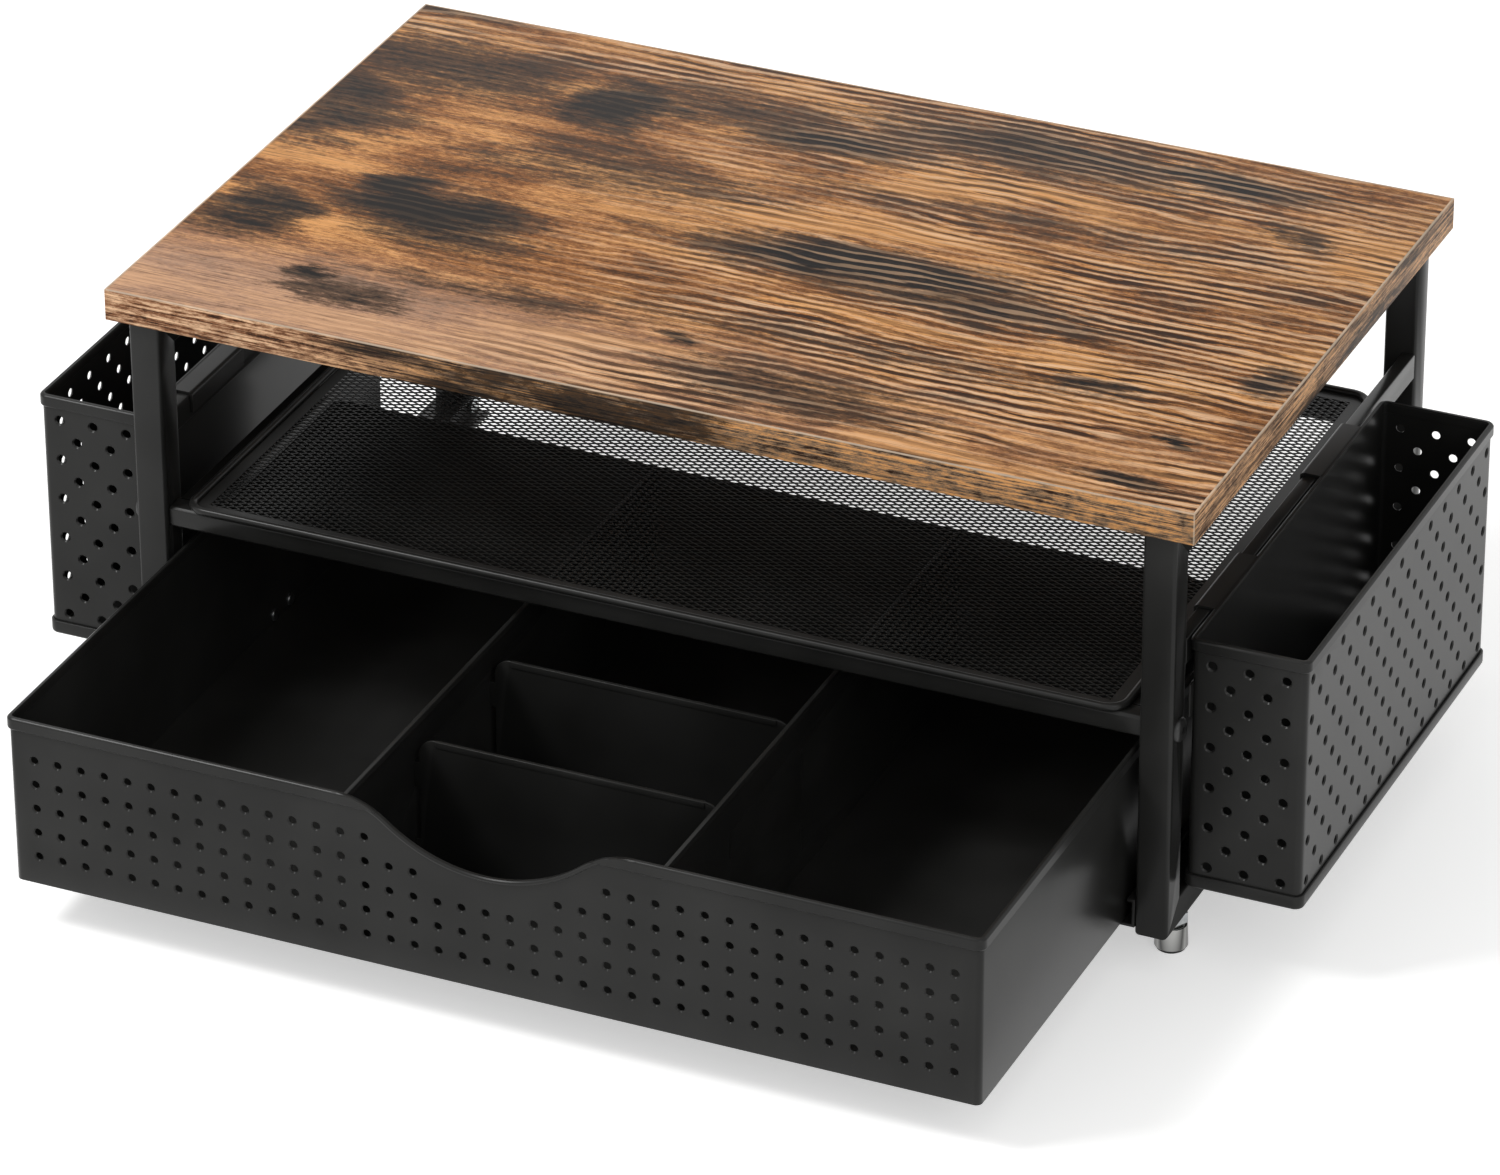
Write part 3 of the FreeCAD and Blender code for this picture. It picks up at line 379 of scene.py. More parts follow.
def add_node(tree, kind, links=(), **settings):
    """Adds a node. Settings are its own or its inputs', and links are (input, output) pairs."""
    node = tree.nodes.new(kind)
    for name, value in settings.items():
        if hasattr(node, name):
            setattr(node, name, value)
        else:
            node.inputs[name.replace("_", " ")].default_value = value
    for socket, output in links:
        tree.links.new(output, node.inputs[socket])
    return node


def new_material(name, **settings):
    """A Principled material. Returns the material, its tree, shader and Object coordinates."""
    material = bpy.data.materials.new(name)
    material.use_nodes = True
    tree = material.node_tree
    shader = tree.nodes["Principled BSDF"]
    for socket, value in settings.items():
        shader.inputs[socket.replace("_", " ")].default_value = value
    place = tree.nodes.new("ShaderNodeTexCoord").outputs["Object"]
    return material, tree, shader, place


def grain(tree, place, across, detail=4.0, roughness=0.6, shift=(0, 0, 0), bend=0.0):
    """Noise stretched to the millimetres given for each axis."""
    stretch = add_node(
        tree, "ShaderNodeMapping", [("Vector", place)], Location=shift,
        Scale=[1 / (size * MM) for size in across])
    return add_node(
        tree, "ShaderNodeTexNoise", [("Vector", stretch.outputs["Vector"])],
        Scale=1.0, Detail=detail, Roughness=roughness, Distortion=bend).outputs["Fac"]


def ramp(tree, value, stops):
    """A colour ramp. A stop is (position, colour)."""
    node = add_node(tree, "ShaderNodeValToRGB", [("Fac", value)])
    elements = node.color_ramp.elements
    while len(elements) < len(stops):
        elements.new(0.5)
    for element, (position, tone) in zip(elements, stops):
        element.position = position
        element.color = tone
    return node.outputs["Color"]


def mixed(tree, factor, first, second):
    """Mixes two colours, each an output or a plain colour."""
    node = add_node(tree, "ShaderNodeMix", data_type="RGBA")
    for socket, value in ((0, factor), (6, first), (7, second)):
        if isinstance(value, bpy.types.NodeSocket):
            tree.links.new(value, node.inputs[socket])
        else:
            node.inputs[socket].default_value = value
    return node.outputs[2]


def maths(tree, operation, first, second=0.0):
    """Calculates with two values, each an output or a plain number."""
    node = add_node(tree, "ShaderNodeMath", operation=operation)
    for socket, value in enumerate((first, second)):
        if isinstance(value, bpy.types.NodeSocket):
            tree.links.new(value, node.inputs[socket])
        else:
            node.inputs[socket].default_value = value
    return node.outputs[0]


def rough_surface(tree, shader, height, depth, strength=1.0):
    """Bump from a height pattern. depth is its real depth in millimetres."""
    bump = add_node(tree, "ShaderNodeBump", [("Height", height)], Strength=strength,
                    Distance=depth * MM)
    tree.links.new(bump.outputs["Normal"], shader.inputs["Normal"])


def powder_coat(name):
    """Polyester powder coat on steel: satin black, with a fine orange peel from the oven."""
    material, tree, shader, place = new_material(
        name, Roughness=0.28, Specular_IOR_Level=0.2, IOR=1.5)
    cloudy = grain(tree, place, (60, 60, 60), detail=2)
    tone = ramp(tree, cloudy, [(0.35, colours().coat), (0.7, colours().coat_light)])
    tree.links.new(tone, shader.inputs["Base Color"])
    # Orange peel has waves of 1 to 2 mm.
    rough_surface(tree, shader, grain(tree, place, (1.4, 1.4, 1.4), detail=2), 0.02, 0.35)
    return material


def separated(tree, vector):
    """The X, Y and Z of a vector."""
    return add_node(tree, "ShaderNodeSeparateXYZ", [("Vector", vector)]).outputs


def faded(tree, value, low, high, start=0.0, end=1.0):
    """A smooth step from start to end as the value goes from low to high."""
    return add_node(
        tree, "ShaderNodeMapRange", [("Value", value)], interpolation_type="SMOOTHSTEP",
        From_Min=low, From_Max=high, To_Min=start, To_Max=end).outputs["Result"]


def frayed(tree, place, across, reach):
    """Coordinates pushed about by noise, so that what is drawn on them has ragged edges."""
    stretch = add_node(tree, "ShaderNodeMapping", [("Vector", place)],
                       Scale=[1 / (size * MM) for size in across])
    noise = add_node(tree, "ShaderNodeTexNoise", [("Vector", stretch.outputs["Vector"])],
                     Scale=1.0, Detail=6.0, Roughness=0.7)
    centred = add_node(tree, "ShaderNodeVectorMath", [(0, noise.outputs["Color"])],
                       operation="SUBTRACT")
    centred.inputs[1].default_value = (0.5, 0.5, 0.5)
    push = add_node(tree, "ShaderNodeVectorMath", [
        (0, centred.outputs["Vector"]), (2, place)], operation="MULTIPLY_ADD")
    push.inputs[1].default_value = [2 * size * MM for size in reach]
    return push.outputs["Vector"]


def oval(tree, place, x, y, half_x, half_y, strength):
    """A soft-edged oval on the board, in millimetres, strongest in its middle."""
    fitted = add_node(
        tree, "ShaderNodeMapping", [("Vector", place)], vector_type="TEXTURE",
        Location=(x * MM, y * MM, 0), Scale=(half_x * MM, half_y * MM, 10))
    distance = add_node(tree, "ShaderNodeVectorMath", [(0, fitted.outputs["Vector"])],
                        operation="LENGTH")
    return faded(tree, distance.outputs["Value"], 0.2, 1.6, strength, 0.0)


def strongest(tree, values):
    """The largest of the values at each point."""
    total = values[0]
    for value in values[1:]:
        total = maths(tree, "MAXIMUM", total, value)
    return total


# Charred patches of the print: middle x and y, half width, half depth (mm) and strength
CHARRED = (
    (-125, 175, 24, 30, 1.0), (-178, 56, 22, 20, 1.0), (-150, 38, 46, 28, 0.95),
    (-233, 16, 28, 26, 0.85), (40, 70, 92, 20, 0.9), (95, 54, 62, 14, 0.7),
    (-25, 178, 62, 14, 0.8), (158, 211, 46, 11, 0.95), (208, 172, 17, 12, 0.75),
    (172, 8, 22, 9, 0.75), (247, 40, 12, 18, 0.75), (-177, -32, 11, 7, 0.85),
    (-156, -46, 24, 12, 0.6), (227, -25, 7, 5, 0.9), (212, -67, 28, 4, 0.8),
    (22, -59, 18, 5, 0.7), (-2, -22, 12, 5, 0.75), (60, -50, 74, 22, 0.55),
    (-215, 182, 76, 34, 0.65), (-245, 125, 36, 50, 0.7), (-88, 112, 80, 24, 0.55),
    (60, 205, 110, 24, 0.6), (-70, 190, 90, 26, 0.5), (80, 140, 120, 12, 0.35),
    (60, -2, 120, 12, 0.4), (-90, -15, 70, 12, 0.4), (-250, 235, 60, 6, 0.6),
)


def printed_board(name):
    """Chipboard with printed melamine paper: rustic golden brown, with wavy grain and char."""
    material, tree, shader, place = new_material(
        name, Roughness=0.5, Specular_IOR_Level=0.1, IOR=1.5)
    tone = colours()
    spot = separated(tree, place)
    speckle = grain(tree, place, (4.0, 1.3, 4), detail=6, roughness=0.85)
    fibre = grain(tree, place, (30, 0.8, 20), detail=4, roughness=0.75, bend=0.2)
    cloud = grain(tree, place, (110, 30, 60), detail=5, roughness=0.62, shift=(7, 2, 0), bend=0.5)
    value = maths(tree, "ADD", maths(tree, "MULTIPLY", cloud, 0.55),
                  maths(tree, "MULTIPLY", speckle, 0.45))
    wood = ramp(tree, value, [
        (0.40, tone.wood_dark), (0.475, tone.wood_middle), (0.55, tone.wood_light)])
    # Rosy print towards the front left, lightened there as a painted sheen.
    rosy_and_sheen = maths(tree, "MULTIPLY", faded(tree, spot["Y"], 10 * MM, -50 * MM),
                 faded(tree, spot["X"], 160 * MM, -200 * MM, 0.12, 0.62))
    wood = mixed(tree, rosy_and_sheen, wood, tone.wood_rose_and_sheen)
    # The grain lines lie about 6.3 mm apart. They are strong to the right and along the rear.
    wander = grain(tree, place, (110, 40, 50), detail=3, roughness=0.5, shift=(1, 5, 0))
    turns = maths(tree, "ADD", maths(tree, "MULTIPLY", spot["Y"], 1 / (6.3 * MM)),
                  maths(tree, "MULTIPLY", wander, 3.4))
    wave = maths(tree, "SINE", maths(tree, "MULTIPLY", turns, 2 * math.pi))
    broken = grain(tree, place, (55, 4, 20), detail=5, roughness=0.7, shift=(0, 9, 0))
    wave = maths(tree, "ADD", wave, maths(tree, "MULTIPLY", broken, 4.4))
    patchy = grain(tree, place, (90, 26, 20), detail=3, roughness=0.6, shift=(3, 3, 0))
    uneven = maths(tree, "ADD", spot["X"], maths(tree, "MULTIPLY", cloud, 250 * MM))
    zone = strongest(tree, [
        faded(tree, uneven, -20 * MM, 160 * MM, 0.1, 1.0),
        faded(tree, spot["Y"], 195 * MM, 215 * MM, 0.0, 0.95)])
    zone = maths(tree, "MULTIPLY", zone, faded(tree, patchy, 0.36, 0.6, 0.35, 1.0))
    dark_line = maths(tree, "MULTIPLY", faded(tree, wave, 2.35, 2.9), zone)
    pale_line = maths(tree, "MULTIPLY", faded(tree, wave, 1.9, 1.35), zone)
    wood = mixed(tree, maths(tree, "MULTIPLY", pale_line, 0.75), wood, tone.grain_light)
    wood = mixed(tree, maths(tree, "MULTIPLY", dark_line, 0.95), wood, tone.grain_dark)
    wood = mixed(tree, faded(tree, fibre, 0.46, 0.68, 0.0, 0.6), wood, tone.grain_dark)
    # Char: a brown haze with ragged black cores, drawn out along the grain.
    ragged = frayed(tree, place, (60, 18, 30), (44, 15, 0))
    char = strongest(tree, [oval(tree, ragged, *patch) for patch in CHARRED])
    streaks = grain(tree, place, (30, 2.6, 10), detail=5, roughness=0.7, shift=(4, 4, 0))
    flecks = grain(tree, place, (5, 2.4, 10), detail=6, roughness=0.8, shift=(8, 4, 0))
    for pattern, share in ((streaks, 1.4), (flecks, 1.3), (cloud, -0.9)):
        char = maths(tree, "ADD", char, maths(tree, "MULTIPLY", pattern, share))
    wood = mixed(tree, faded(tree, char, 0.96, 1.46, 0.0, 0.86), wood, tone.soot)
    wood = mixed(tree, faded(tree, char, 1.36, 1.82, 0.0, 0.96), wood, tone.char)
    wood = mixed(tree, maths(tree, "MULTIPLY", maths(tree, "MULTIPLY", pale_line, char), 0.2),
                 wood, tone.grain_light)
    tree.links.new(wood, shader.inputs["Base Color"])
    height = maths(tree, "SUBTRACT", maths(tree, "MULTIPLY", fibre, 0.4), dark_line)
    rough_surface(tree, shader, height, 0.12, 0.5)
    return material


def printed_band(name):
    """Melamine edging, printed to go with the board: tan, grey and rusty streaks with char."""
    material, tree, shader, place = new_material(
        name, Roughness=0.5, Specular_IOR_Level=0.1, IOR=1.5)
    tone = colours()
    spot = separated(tree, place)
    streak = grain(tree, place, (44, 44, 1.2), detail=5, roughness=0.7, bend=0.5)
    fleck = grain(tree, place, (7, 7, 2.2), detail=6, roughness=0.75)
    pattern = maths(tree, "ADD", maths(tree, "MULTIPLY", streak, 0.6),
                    maths(tree, "MULTIPLY", fleck, 0.4))
    wood = ramp(tree, pattern, [
        (0.4, tone.wood_dark), (0.47, tone.band), (0.56, tone.grain_light)])
    grey = ramp(tree, pattern, [
        (0.42, tone.grain_dark), (0.48, tone.band_grey), (0.57, tone.wood_light)])
    rust = ramp(tree, pattern, [
        (0.42, tone.grain_dark), (0.48, tone.band_rust), (0.59, tone.grain_light)])
    front = faded(tree, spot["Y"], -80.8 * MM, -79.5 * MM, 1.0, 0.0)
    right = faded(tree, spot["X"], 240 * MM, 254 * MM)
    wood = mixed(tree, maths(tree, "MULTIPLY", right, 0.6), wood, grey)
    ends = mixed(tree, faded(tree, spot["X"], -200 * MM, -60 * MM), rust, grey)
    wood = mixed(tree, front, wood, ends)
    cloud = grain(tree, place, (75, 75, 14), detail=4, roughness=0.65, shift=(2, 6, 1))
    char = maths(tree, "ADD", cloud, maths(tree, "MULTIPLY", fleck, 0.6))
    # The front band is charred most 45 mm left of the middle, the right one 100 mm behind it.
    from_burn = maths(tree, "ABSOLUTE", maths(tree, "ADD", spot["X"], 45 * MM))
    burnt = maths(tree, "MULTIPLY", faded(tree, from_burn, 50 * MM, 140 * MM, 0.18, -0.18),
                  front)
    from_scorch = maths(tree, "ABSOLUTE", maths(tree, "SUBTRACT", spot["Y"], 100 * MM))
    scorched = faded(tree, from_scorch, 40 * MM, 140 * MM, 0.1, -0.06)
    burnt = maths(tree, "ADD", burnt, maths(tree, "MULTIPLY", scorched, right))
    char = maths(tree, "ADD", char, burnt)
    wood = mixed(tree, faded(tree, char, 0.8, 0.96, 0.0, 0.9), wood, tone.char)
    # Painted highlight: a pale line along the top rims and down the front right corner.
    corner = maths(tree, "MULTIPLY", faded(tree, spot["X"], 254.2 * MM, 254.8 * MM),
                   faded(tree, spot["Y"], -81.2 * MM, -81.8 * MM))
    rim = strongest(tree, [faded(tree, spot["Z"], 230.3 * MM, 230.8 * MM), corner])
    wood = mixed(tree, maths(tree, "MULTIPLY", rim, 0.7), wood, tone.band_rim)
    tree.links.new(wood, shader.inputs["Base Color"])
    rough_surface(tree, shader, streak, 0.05, 0.3)
    return material


def chrome_plating(name):
    """Bright chrome on turned steel: a mirror, with turning marks. Its colour carries painted
    reflections: light and dark bands by the angle to the view, darker to its sides.
    """
    material, tree, shader, place = new_material(name, Metallic=1.0, Roughness=0.1)
    # Painted reflection: light and dark bands by facing angle stand in for the dark riser and the
    # white floor seen in the mirror.
    turn = add_node(tree, "ShaderNodeLayerWeight", Blend=0.4).outputs["Facing"]
    tone = ramp(tree, turn, [
        (0.1, hex_colour("#b9b9b7")), (0.28, hex_colour("#5b5b5a")),
        (0.42, hex_colour("#acacaa")), (0.75, hex_colour("#3c3c3b"))])
    tree.links.new(tone, shader.inputs["Base Color"])
    rough_surface(tree, shader, grain(tree, place, (8, 8, 0.25), detail=2), 0.01, 0.2)
    return material


def black_rubber(name):
    """Moulded rubber: dull black, with a fine grain."""
    material, tree, shader, place = new_material(
        name, Base_Color=hex_colour("#1d1d1d"), Roughness=0.85)
    rough_surface(tree, shader, grain(tree, place, (0.6, 0.6, 0.6)), 0.05, 0.5)
    return material


def black_oxide(name):
    """Blackened steel: smoother and darker than the powder coat round it."""
    material, tree, shader, place = new_material(
        name, Base_Color=hex_colour("#232323"), Roughness=0.35)
    rough_surface(tree, shader, grain(tree, place, (1, 1, 1)), 0.01, 0.3)
    return material


def zinc_plating(name):
    """Bright zinc on steel: greyer and duller than chrome, with a faint blotch."""
    material, tree, shader, place = new_material(name, Metallic=1.0, Roughness=0.3)
    blotch = grain(tree, place, (5, 5, 5), detail=3)
    tone = ramp(tree, blotch, [(0.3, hex_colour("#a9acae")), (0.7, hex_colour("#c9cccd"))])
    tree.links.new(tone, shader.inputs["Base Color"])
    return material


def natural_nylon(name):
    """Moulded nylon: milky off-white with a soft sheen."""
    material, tree, shader, place = new_material(
        name, Roughness=0.4, Subsurface_Weight=0.2, Subsurface_Scale=2 * MM)
    milky = grain(tree, place, (12, 12, 12), detail=2)
    tone = ramp(tree, milky, [(0.3, hex_colour("#ddd8cb")), (0.7, hex_colour("#e8e4d9"))])
    tree.links.new(tone, shader.inputs["Base Color"])
    return material


def seen_directly(tree):
    """1 where the camera looks, also in a mirror or through clear plastic, and 0 elsewhere."""
    path = tree.nodes.new("ShaderNodeLightPath").outputs
    return strongest(tree, [path["Is Camera Ray"], path["Is Glossy Ray"],
                            path["Is Transmission Ray"]])


def finish(name, make):
    """Makes a material once and gives the same one each time."""
    def given():
        return bpy.data.materials.get(name) or make(name)
    return given


FINISHES = {
    "board_face": finish("printed melamine board", printed_board),
    "board_edge": finish("printed melamine edging", printed_band),
    "frame_coat": finish("satin black powder coat, frame", powder_coat),
    "shelf_coat": finish("satin black powder coat, shelf", powder_coat),
    "drawer_coat": finish("satin black powder coat, drawer", powder_coat),
    "holder_coat": finish("satin black powder coat, holders", powder_coat),
    "foot_chrome": finish("chrome plating", chrome_plating),
    "foot_rubber": finish("moulded black rubber", black_rubber),
    "black_bolt": finish("black oxide steel", black_oxide),
    "zinc_fastener": finish("bright zinc plating", zinc_plating),
    "glide_nylon": finish("natural nylon", natural_nylon),
}


# Operators


class RISER_OT_stage(bpy.types.Operator):
    """Makes the floor, the world, the lamps and the camera"""

    bl_idname = "riser.stage"
    bl_label = "Stage"

    LAMP_AIM = Vector((0, 0, 0.1))
    CAMERA_PLACE = Vector((1.2649, -2.7943, 1.8160))
    CAMERA_ANGLES = (24.07, 29.27, -0.21)
    CAMERA_LENS = 191.14
    CAMERA_SENSOR = 36

    def execute(self, context):
        scene = context.scene
        scene.view_settings.view_transform = "Standard"
        deselect()
        bpy.ops.mesh.primitive_plane_add(size=12, location=(0, 0, 0))
        floor = named("floor")
        floor.data.materials.append(self.pale_floor())
        self.light_world(scene)
        self.hang_lamp("key lamp", (-1.6, -1.3, 2.6), 0.85, 46)
        self.hang_lamp("fill lamp", (2.2, -1.8, 1.6), 0.9, 6.5)
        self.set_camera(scene)
        return {"FINISHED"}

    def pale_floor(self):
        """Matt white paint. The camera sees it brightened to white, with the shadow kept."""
        material, tree, shader, _ = new_material(
            "pale floor", Base_Color=colours().floor, Roughness=0.9, Specular_IOR_Level=0.1,
            Emission_Color=WHITE)
        glow = maths(tree, "MULTIPLY", seen_directly(tree), 0.5)
        tree.links.new(glow, shader.inputs["Emission Strength"])
        return material

    def light_world(self, scene):
        """White to the camera and to mirrors, and a plain soft light on everything else."""
        world = bpy.data.worlds.new("studio")
        world.use_nodes = True
        scene.world = world
        tree = world.node_tree
        tree.nodes.clear()
        soft = add_node(tree, "ShaderNodeBackground", Color=WHITE, Strength=0.55)
        white = add_node(tree, "ShaderNodeBackground", Color=WHITE, Strength=1.0)
        both = add_node(tree, "ShaderNodeMixShader", [
            (0, seen_directly(tree)), (1, soft.outputs[0]), (2, white.outputs[0])])
        add_node(tree, "ShaderNodeOutputWorld", [("Surface", both.outputs[0])])

    def hang_lamp(self, name, spot, size, power):
        deselect()
        bpy.ops.object.light_add(type="AREA", location=spot)
        lamp = bpy.context.object
        lamp.name = name
        lamp.data.size = size
        lamp.data.energy = power
        aim = self.LAMP_AIM - Vector(spot)
        lamp.rotation_euler = aim.to_track_quat("-Z", "Y").to_euler()

    def set_camera(self, scene):
        """Sets the camera by its turn round the upright, its rise and its roll, as fitted."""
        turn, rise, roll = (math.radians(angle) for angle in self.CAMERA_ANGLES)
        back = Vector((math.sin(turn) * math.cos(rise), -math.cos(turn) * math.cos(rise),
                       math.sin(rise)))
        right = Vector((math.cos(turn), math.sin(turn), 0))
        level = back.cross(right)
        across = right * math.cos(roll) + level * math.sin(roll)
        upward = level * math.cos(roll) - right * math.sin(roll)
        pose = Matrix((across, upward, back)).transposed().to_4x4()
        pose.translation = self.CAMERA_PLACE
        bpy.ops.object.camera_add()
        camera = bpy.context.object
        camera.matrix_world = pose
        camera.data.lens = self.CAMERA_LENS
        camera.data.sensor_width = self.CAMERA_SENSOR
        scene.camera = camera


class RISER_OT_board(bpy.types.Operator):
    """Makes the printed board and its edge bands, with eased edges"""

    bl_idname = "riser.board"
    bl_label = "Board"

    def execute(self, context):
        eased_copy("top_board", "board_face", "frame", 0.1 * MM)
        for edge in ("front", "rear", "left", "right"):
            eased_copy(edge + "_edge_band", "board_edge", "frame", sizes().band_ease)
        return {"FINISHED"}


class RISER_OT_side_frames(bpy.types.Operator):
    """Makes the square tubes of the side frames, with round corners, and the hanger bars"""

    bl_idname = "riser.side_frames"
    bl_label = "Side frames"

    def execute(self, context):
        for side in SIDES:
            for end in ENDS:
                self.round_tube("%s_%s_leg" % (side, end), UP)
            self.round_tube(side + "_bottom_rail", BACK)
            self.round_tube(side + "_top_rail", BACK)
            eased_copy(side + "_hanger_bar", "frame_coat", "frame", sizes().edge_ease)
        return {"FINISHED"}

    def round_tube(self, node, axis):
        """Rounds the four outer corners that run along the tube, and not its bore."""
        piece = cad_copy(node)
        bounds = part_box(node)
        across = (0, 1) if axis is UP else (0, 2)
        choose(piece, "edges", lambda edge: along(edge, axis) and at_sides(edge, bounds, across))
        bpy.ops.mesh.bevel(offset=sizes().tube_round, segments=4, affect="EDGES")
        done()
        # The eased ends show the welded mitres as a fine seam.
        ease(piece, 0.2 * MM, steps=1)
        dress(piece, "frame_coat", "frame", node)


class RISER_OT_shelf(bpy.types.Operator):
    """Makes the shelf's bars, its wire bead and its expanded-metal mesh"""

    bl_idname = "riser.shelf"
    bl_label = "Mesh shelf"

    def execute(self, context):
        for node in ("shelf_front_bar", "shelf_rear_bar", "left_shelf_bar", "right_shelf_bar"):
            eased_copy(node, "shelf_coat", "frame", 0.5 * MM)
        eased_copy("shelf_rim", "shelf_coat", "frame", 0.5 * MM, angle=30)
        self.weave_mesh()
        return {"FINISHED"}

    def weave_mesh(self):
        """One diamond, repeated in both directions, and a plain border round the field."""
        size = sizes()
        low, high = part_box("shelf_mesh")
        low, high = Vector(low), Vector(high)
        middle = (low + high) / 2
        thickness = high.z - low.z
        strand_height = thickness / 2
        field_x = high.x - low.x - 2 * size.mesh_border
        field_y = high.y - low.y - 2 * size.mesh_border
        columns = round(field_x / size.mesh_long_way)
        rows = round(field_y / size.mesh_short_way)
        pitch_x = field_x / columns
        pitch_y = field_y / rows
        height = pitch_x * pitch_y / 2 / math.hypot(pitch_x, pitch_y)
        grow = (height + size.mesh_strand / 2) / height
        deselect()
        spot = (middle.x - field_x / 2 + pitch_x / 2, middle.y - field_y / 2 + pitch_y / 2, high.z)
        bpy.ops.mesh.primitive_circle_add(vertices=4, radius=0.5, fill_type="NGON", location=spot)
        mesh = stretched("shelf_mesh_finish", (pitch_x * grow, pitch_y * grow, 1))
        choose(mesh, "faces")
        bpy.ops.mesh.inset(thickness=size.mesh_strand, use_even_offset=True)
        bpy.ops.mesh.delete(type="FACE")
        done()
        if len(mesh.data.polygons) != 4:
            raise RuntimeError("the mesh's diamond has %d faces" % len(mesh.data.polygons))
        modify(mesh, "SOLIDIFY", thickness=strand_height, offset=-1)
        modify(mesh, "ARRAY", count=columns, use_relative_offset=False, use_constant_offset=True,
               constant_offset_displace=(pitch_x, 0, 0))
        modify(mesh, "ARRAY", count=rows, use_relative_offset=False, use_constant_offset=True,
               constant_offset_displace=(0, pitch_y, 0))
        deselect()
        bpy.ops.mesh.primitive_plane_add(size=1, location=(middle.x, middle.y, high.z))
        border = stretched("mesh_border", (high.x - low.x, high.y - low.y, 1))
        choose(border, "faces")
        bpy.ops.mesh.inset(thickness=size.mesh_border, use_even_offset=True)
        bpy.ops.mesh.delete(type="FACE")
        done()
        modify(border, "SOLIDIFY", thickness=thickness, offset=-1)
        dress(join(mesh, border), "shelf_coat", "frame", "shelf_mesh")


class RISER_OT_runners(bpy.types.Operator):
    """Makes the drawer runners and all the fasteners"""

    bl_idname = "riser.runners"
    bl_label = "Runners and fasteners"

    def execute(self, context):
        for side in SIDES:
            eased_copy(side + "_runner", "frame_coat", "frame", 0.25 * MM)
        for node in ("runner_screws", "board_screws"):
            eased_copy(node, "zinc_fastener", "frame", 0.3 * MM, angle=60)
        eased_copy("foot_nuts", "zinc_fastener", "frame", 0.5 * MM, angle=50)
        self.dome_bolts()
        return {"FINISHED"}

    def dome_bolts(self):
        """Round domed heads on the legs' outer faces, each with a hexagon socket."""
        low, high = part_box("shelf_bolts")
        inset = 5.5 * MM
        head_height = 2.5 * MM
        heads = []
        for sign, face in ((-1, low[0]), (1, high[0])):
            for y in (low[1] + inset, high[1] - inset):
                head = turned("bolt", [
                    (5.5, 0), (5.5, 0.9), (5.2, 1.5), (4.5, 2.05), (3.4, 2.4), (2.4, 2.5)], 32)
                socket = turned("socket", [(1.7, 1.2), (1.7, 4)], 6)
                carve(head, socket)
                head.rotation_euler = (0, math.radians(90 * sign), 0)
                head.location = (face - head_height * sign, y, (low[2] + high[2]) / 2)
                settle(head)
                heads.append(head)
        piece = join(*heads)
        piece.name = "shelf_bolts_finish"
        dress(piece, "black_bolt", "frame", "shelf_bolts")


class RISER_OT_feet(bpy.types.Operator):
    """Makes the turned chrome feet and their rubber pads"""

    bl_idname = "riser.feet"
    bl_label = "Feet"

    def execute(self, context):
        foot = turned("foot", [
            (6.9, 1.5), (7.4, 1.7), (7.5, 2.2), (7.0, 11.4), (6.9, 12.0), (6.3, 12.4),
            (5.0, 12.45), (5.0, 13.6), (4.0, 13.7), (4.0, 31.0)], 48)
        pad = turned("pad", [(6.1, 0.0), (6.5, 0.3), (6.5, 1.5)], 40)
        for side in SIDES:
            for end in ENDS:
                node = "%s_%s_foot" % (side, end)
                low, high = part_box(node)
                spot = ((low[0] + high[0]) / 2, (low[1] + high[1]) / 2, 0)
                for source, target, slot in (
                        (foot, node, "foot_chrome"), (pad, node + "_pad", "foot_rubber")):
                    piece = twin(source, target + "_finish")
                    piece.location = spot
                    settle(piece)
                    dress(piece, slot, node, target)
        bpy.data.objects.remove(foot)
        bpy.data.objects.remove(pad)
        return {"FINISHED"}


